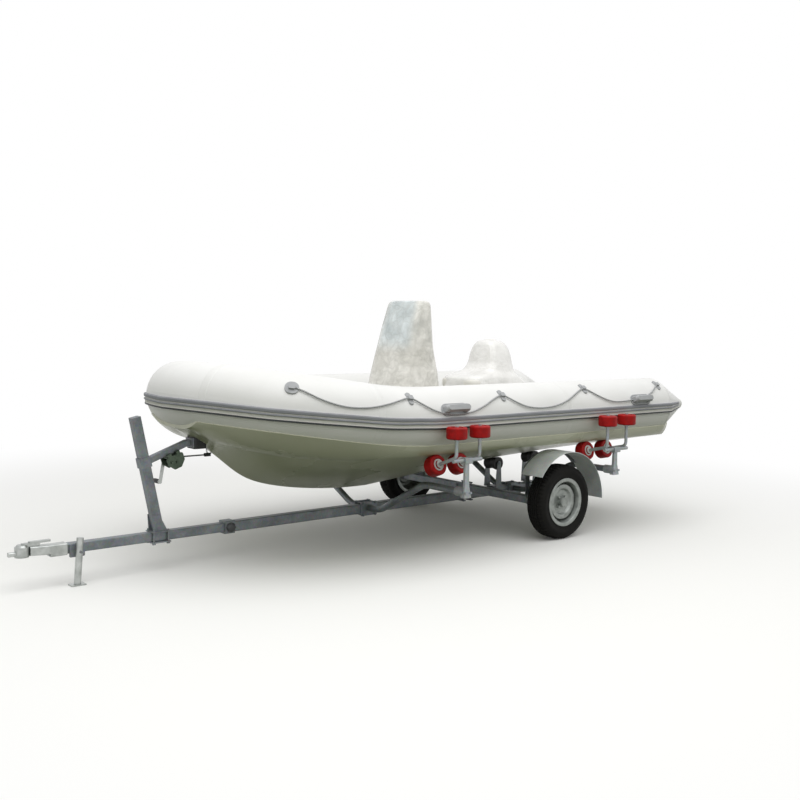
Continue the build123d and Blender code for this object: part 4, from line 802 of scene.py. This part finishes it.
class BOAT_OT_wheels(bpy.types.Operator):
    """Tyres with tread blocks and pressed steel rims, each spun from its section."""

    bl_idname = "boat.wheels"
    bl_label = "Wheels"

    def execute(self, context):
        rubber, silver = tyre_rubber(), wheel_silver()
        outer = np.array(TREAD + [(r, -y) for r, y in TREAD[::-1]]) * MM
        inner = np.array([(r, -y) for r, y in CARCASS] + CARCASS[-2::-1]) * MM
        section = np.concatenate([outer, inner, outer[:1]])
        shoulder = (section[:, 0] > SHOULDER_R) & (np.abs(section[:, 1]) > SHOULDER_Y)

        def blocks(a, i):
            return np.where((np.sin(GROOVES * a) > 0.45) & shoulder[i], -GROOVE_DEEP, 0.0)

        face = rounded(np.array(FACE) * MM, 0.004)
        back = rounded(np.array(BACK) * MM, 0.003)
        for word, side in SIDES:
            middle = (AXLE_X, side * WHEEL_Y, HUB_Z)
            axis = (0, side, 0)
            spun = lathe(section, middle, axis, 336, ripple=blocks)
            tyre = surface(f"tread_{word}", [spun], [rubber], f"wheel_{word}")
            sharpen(tyre, 38)
            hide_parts(f"tyre_{word}")
            pressed = [lathe(face, middle, axis, 192, push=self.vents), lathe(back, middle, axis, 192)]
            rim = surface(f"wheel_disc_{word}", pressed, [silver], f"wheel_{word}")
            sharpen(rim, 50)
            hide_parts(f"rim_{word}")
            dress(silver, f"hub_{word}")
        return {"FINISHED"}

    @staticmethod
    def vents(a, radius, height):
        """Oval dents in the raised ring: depth falls smoothly to nothing at an ellipse round each middle."""
        pitch = 2 * math.pi / VENTS
        swing = (a / pitch) % 1.0 - 0.5
        along = swing * pitch * VENT_ARC_R / VENT_LONG
        across = (radius - VENT_R) / VENT_WIDE
        inside = np.clip(1.35 - along**2 - across**2, 0, 0.45) / 0.45
        return -VENT_DEEP * inside * (height > 0.02)


# Wrapping film over the console and the seat: height, aft and fore length from the axle, half width
CONSOLE_FILM = [
    (1.040, 0.590, 1.036, 0.254), (1.120, 0.596, 1.022, 0.248), (1.200, 0.604, 1.006, 0.243),
    (1.320, 0.634, 0.974, 0.234), (1.430, 0.660, 0.940, 0.224), (1.570, 0.670, 0.902, 0.213),
    (1.700, 0.679, 0.858, 0.201), (1.738, 0.682, 0.846, 0.195), (1.760, 0.690, 0.836, 0.184),
    (1.770, 0.706, 0.818, 0.166),
]
SEAT_FILM = [
    (1.000, -0.452, 0.274, 0.222), (1.110, -0.448, 0.274, 0.220), (1.180, -0.340, 0.262, 0.212),
    (1.228, -0.272, 0.060, 0.182), (1.290, -0.260, 0.016, 0.166), (1.350, -0.250, 0.008, 0.154),
    (1.400, -0.238, -0.002, 0.136), (1.435, -0.224, -0.012, 0.114), (1.460, -0.206, -0.028, 0.088),
    (1.4725, -0.186, -0.048, 0.060), (1.4765, -0.160, -0.074, 0.030),
]
# How far wide and fine creases pull the film in
WIDE_PULL = 0.026
FINE_PULL = 0.016
# Waves of the lower edge: height, and the reach above the edge over which they die out
EDGE_WAVE = 0.010
EDGE_REACH = 0.15


class BOAT_OT_wraps(bpy.types.Operator):
    """Polythene film over the console and the seat, creased where it is gathered."""

    bl_idname = "boat.wraps"
    bl_label = "Wrapping film"

    def execute(self, context):
        thin = wrapping_film("blown_polythene_thin", "e6e4db", "f8f6ef", 0.66, 0.7)
        thick = wrapping_film("blown_polythene_thick", "f2f1ed", "f9f8f5", 0.88, 0.0)
        for word, table, rows, seed, held, paint in (
            ("console", CONSOLE_FILM, 150, 4, ["console", "windscreen"], thin),
            ("seat", SEAT_FILM, 130, 9, ["seat_cushion", "seat_backrest", "seat_pod"], thick),
        ):
            grid = self.bag(np.array(table), rows, seed)
            piece = surface(f"{word}_wrap", [patch(grid, wrap_u=True)], [paint])
            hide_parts(f"{word}_film")
            area = np.empty(len(piece.data.polygons), np.float32)
            piece.data.polygons.foreach_get("area", area)
        return {"FINISHED"}

    @staticmethod
    def bag(table, rows, seed):
        """Rounded squares stacked by the table, pulled in by creases, closed to a point on top.

        Length and width = half size times rounded cosine or sine times (1 - pull of the creases); height is
        the table's, waved at the lower edge.
        """
        steps = np.arange(len(table))
        level = np.interp(np.linspace(0, 1, rows), np.linspace(0, 1, len(table)), steps)
        ease = np.hanning(13)[1:-1] / np.hanning(13).sum()
        shrink = np.linspace(1, 0, 14)[1:] ** 0.8
        size = np.concatenate([np.ones(rows), shrink])
        columns = []
        for column in table.T:
            wide = np.pad(np.interp(level, steps, column), 5, mode="edge")
            smooth = np.convolve(wide, ease, mode="valid")
            columns.append(np.pad(smooth, (0, len(shrink)), mode="edge"))
        z, aft, fore, half = columns
        theta = np.linspace(0, 2 * math.pi, 240, endpoint=False)[:, None]
        u, v = bulge(theta, 4.0)
        fold = creases(theta * 0.55, z[None, :] * 2.2, seed, 9, 5, 17)
        fine = creases(theta * 0.55, z[None, :] * 2.2, seed + 1, 8, 22, 46)
        pull = 1 - size[None, :] * (WIDE_PULL * fold + FINE_PULL * fine)
        x = AXLE_X + (aft + fore) / 2 + (fore - aft) / 2 * u * size * pull
        y = half * v * size * pull
        wave = EDGE_WAVE * np.sin(5 * theta + seed) * np.clip(1 - (z - z[0]) / EDGE_REACH, 0, 1)
        return np.stack([x, y, z + wave - 0.006 * fold * (size < 1)], -1)


# Seat pads: middle of the cushion's foot, foot of the backrest, and the backrest's lean
CUSHION_FOOT = (AXLE_X + 0.115, 0, 1.0905)
BACKREST_FOOT = (AXLE_X - 0.092, 0, 1.092)
BACKREST_LEAN = (0.1386, 0, 0.9903)


class BOAT_OT_seat(bpy.types.Operator):
    """Crowned seat cushion and backrest."""

    bl_idname = "boat.seat"
    bl_label = "Seat cushions"

    def execute(self, context):
        vinyl = seat_vinyl()
        base = cushion(CUSHION_FOOT, (1, 0, 0), (0, 1, 0), 0.149, 0.199, 0.079, 5.0)
        middle = np.array(BACKREST_FOOT) + np.array(BACKREST_LEAN) * 0.192
        back = cushion(middle, (0, -1, 0), BACKREST_LEAN, 0.111, 0.190, 0.108, 3.4)
        for name, shape in (("seat_cushion", base), ("seat_backrest", back)):
            piece = surface(f"{name}_pad", [shape], [vinyl])
            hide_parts(name)
        return {"FINISHED"}


# Sections of the winch pieces and the clamp knob, radius and height in millimetres, and their places
COIL = [(0, -23), (34, -23), (36, -21), (36, 21), (34, 23), (0, 23)]
COIL_PLACE = (AXLE_X + 2.7367, 0, 0.6885)
GRIP = [(0, 0), (11, 0), (14.5, 8), (15.5, 40), (14.5, 72), (10, 84), (0, 86)]
GRIP_PLACE = (AXLE_X + 2.800, -0.0755, 0.553)
KNOB = [(0, 0), (32.5, 0), (32.5, 8), (28, 19), (17, 26), (0, 26.5)]
KNOB_X = AXLE_X + 2.342
KNOB_Y = 0.0432
KNOB_Z = 0.219


class BOAT_OT_winch(bpy.types.Operator):
    """Strap wound on the winch drum and sleeve on its crank, each spun from its section."""

    bl_idname = "boat.winch"
    bl_label = "Winch strap and grip"

    def execute(self, context):
        coil = rounded(np.array(COIL) * MM, 0.002)

        def loose(a, i):
            return 0.0015 * np.sin(a) * (coil[i, 0] > 0.03)

        webbing = woven_webbing()
        wound = lathe(coil, COIL_PLACE, (0, 1, 0), 64, ripple=loose)
        surface("wound_strap", [wound], [webbing])
        dress(webbing, "winch_strap")
        grip = rounded(np.array(GRIP) * MM, 0.006)
        rubber = moulded_rubber("moulded_grip_rubber", "121315", "1d1e20", 0.55)
        surface("crank_grip", [lathe(grip, GRIP_PLACE, (0, -1, 0), 48)], [rubber])
        return {"FINISHED"}


class BOAT_OT_knobs(bpy.types.Operator):
    """Lobed caps on the knobs of the drawbar clamp: radius = section + lobe times a cosine of the turn."""

    bl_idname = "boat.knobs"
    bl_label = "Clamp knobs"

    def execute(self, context):
        knob = rounded(np.array(KNOB) * MM, 0.003)

        def lobes(a, i):
            return 0.0016 * np.cos(8 * a) * (knob[i, 0] > 0.02)

        caps = [
            lathe(knob, (KNOB_X, side * KNOB_Y, KNOB_Z), (0, side, 0), 96, ripple=lobes) for _, side in SIDES
        ]
        plastic = moulded_rubber("moulded_knob_plastic", "3f4143", "505254", 0.5)
        surface("clamp_knobs", caps, [plastic])
        return {"FINISHED"}


# Lower rollers on the port side: middle in metres, then the axle's share to port and up
ROLLERS = [
    (-0.001, 0.8819, 0.6460, 0.9397, 0.3420),
    (0.211, 0.8826, 0.6487, 0.9364, 0.3509),
    (-1.581, 0.8735, 0.6380, 0.9751, 0.2216),
    (-1.353, 0.8743, 0.6385, 0.9726, 0.2324),
]
# Upper rollers, over the lower ones
HIGH_Y = 1.089
HIGH_Z = 0.890
# Rings at a roller's end: inner and outer radius, near and far side, in millimetres from its middle
BUSH = (29, 40, 34.2, 39.5)
WASHER = (12.3, 25, 48.5, 51.5)
# Black ring in the top recess of each upper roller: painted shade where the recess lies in shadow
RECESS_SHADE_RING = (28.6, 40.2, 33.2, 36.5)


class BOAT_OT_roller_rings(bpy.types.Operator):
    """Bushes and washers at the ends of the lower rollers; black rings in the top recesses of the upper ones
    are painted shade.
    """

    bl_idname = "boat.roller_rings"
    bl_label = "Roller rings"

    def execute(self, context):
        pale, dark = [], []
        for x, y, z, to_port, up in ROLLERS:
            for _, side in SIDES:
                axle = (0, side * to_port, up)
                pale += [self.ring(size, (x, side * y, z), axle) for size in (BUSH, WASHER)]
                dark.append(self.ring(RECESS_SHADE_RING, (x, side * HIGH_Y, HIGH_Z), (0, 0, 1)))
        nylon = moulded_rubber("moulded_nylon", "c9cac6", "dcdcd8", 0.4)
        # Painted shade: black rings fill the top recesses of the upper rollers
        rubber = moulded_rubber("black_recess_shade", "121315", "1d1e20", 0.55)
        sharpen(surface("roller_bushes", pale, [nylon]))
        sharpen(surface("roller_recess_shade", dark, [rubber]))
        return {"FINISHED"}

    @staticmethod
    def ring(size, origin, axis):
        """Square section spun round an axis."""
        inner, outer, near, far = size
        section = [(inner, near), (outer, near), (outer, far), (inner, far), (inner, near)]
        return lathe(np.array(section) * MM, origin, axis, 48)


class BOAT_OT_skins(bpy.types.Operator):
    """Finishes of the CAD nodes that keep their own shape."""

    bl_idname = "boat.skins"
    bl_label = "Skins"

    def execute(self, context):
        tones = context.scene.boat_tones
        ends = [f"{row}_{word}" for row in ("front", "rear") for word, _ in SIDES]
        tubes = [f"{part}_{word}" for part in ("tube", "stern_cone") for word, _ in SIDES]
        dress(coated_fabric(tones), "tube_bow", *tubes)
        dress(gelcoat("moulded_hull_gelcoat", tones.hull_shade, tones.hull), "hull")
        dress(gelcoat("moulded_white_gelcoat", "dcdbd4", "e6e5de"), "console", "seat_pod")
        dress(nonslip_deck(), "deck", "transom")
        dress(moulded_rubber("moulded_fitting_rubber", "a2a4a6", "b2b4b5"), "rope_holders", "grab_handles")
        dress(tinted_acrylic(), "windscreen")
        black = moulded_rubber("moulded_black_rubber", "121315", "1d1e20", 0.55)
        dress(black, "bow_snubber", "keel_rollers", "steering_wheel")
        dress(cast_urethane(tones), *(f"rollers_{end}" for end in ends))
        zinc = plated_steel("zinc_plated_steel", "9fa3a0", "c3c6c4", 0.34)
        dress(zinc, "winch_crank", "prop_leg", "coupling_head")
        dress(plated_steel("green_plated_steel", "434f43", "5c685a", 0.45), "winch")
        dress(plated_steel("polished_stainless", "b5b7b8", "d0d2d3", 0.22), "towing_eyes")
        dull = galvanised_steel("galvanised_steel", tones.steel_shade, tones.steel)
        for part in frame["record"]["subparts"]:
            if part["material_slot"] == "galvanised" and "hub" not in part["node"]:
                dress(dull, part["node"])
        sheet = galvanised_steel("galvanised_sheet", "d2d7d9", "e5e9e9")
        dress(sheet, "mudguard_port", "mudguard_starboard")
        dress(galvanised_steel("galvanised_rod", "949a9c", "b2b7b8"), *(f"cradle_{end}" for end in ends))
        return {"FINISHED"}


class BOAT_PT_panel(bpy.types.Panel):
    """Sidebar list of the steps."""

    bl_idname = "BOAT_PT_panel"
    bl_label = "Boat on trailer"
    bl_space_type = "VIEW_3D"
    bl_region_type = "UI"
    bl_category = "Boat"

    def draw(self, context):
        for step in STEPS:
            self.layout.operator(step.bl_idname)


STEPS = (
    BOAT_OT_stage,
    BOAT_OT_lifelines,
    BOAT_OT_strakes,
    BOAT_OT_tapes,
    BOAT_OT_wheels,
    BOAT_OT_wraps,
    BOAT_OT_seat,
    BOAT_OT_winch,
    BOAT_OT_knobs,
    BOAT_OT_roller_rings,
    BOAT_OT_skins,
)
CLASSES = (BoatTones, BoatSizes, *STEPS, BOAT_PT_panel)


def register():
    for kind in CLASSES:
        bpy.utils.register_class(kind)
    bpy.types.Scene.boat_tones = PointerProperty(type=BoatTones)
    bpy.types.Scene.boat_sizes = PointerProperty(type=BoatSizes)


def unregister():
    del bpy.types.Scene.boat_sizes
    del bpy.types.Scene.boat_tones
    for kind in reversed(CLASSES):
        bpy.utils.unregister_class(kind)


def main():
    register()
    bpy.ops.boat.stage()
    bpy.ops.boat.lifelines()
    bpy.ops.boat.strakes()
    bpy.ops.boat.tapes()
    bpy.ops.boat.wheels()
    bpy.ops.boat.wraps()
    bpy.ops.boat.seat()
    bpy.ops.boat.winch()
    bpy.ops.boat.knobs()
    bpy.ops.boat.roller_rings()
    bpy.ops.boat.skins()


if __name__ == "__main__":
    main()
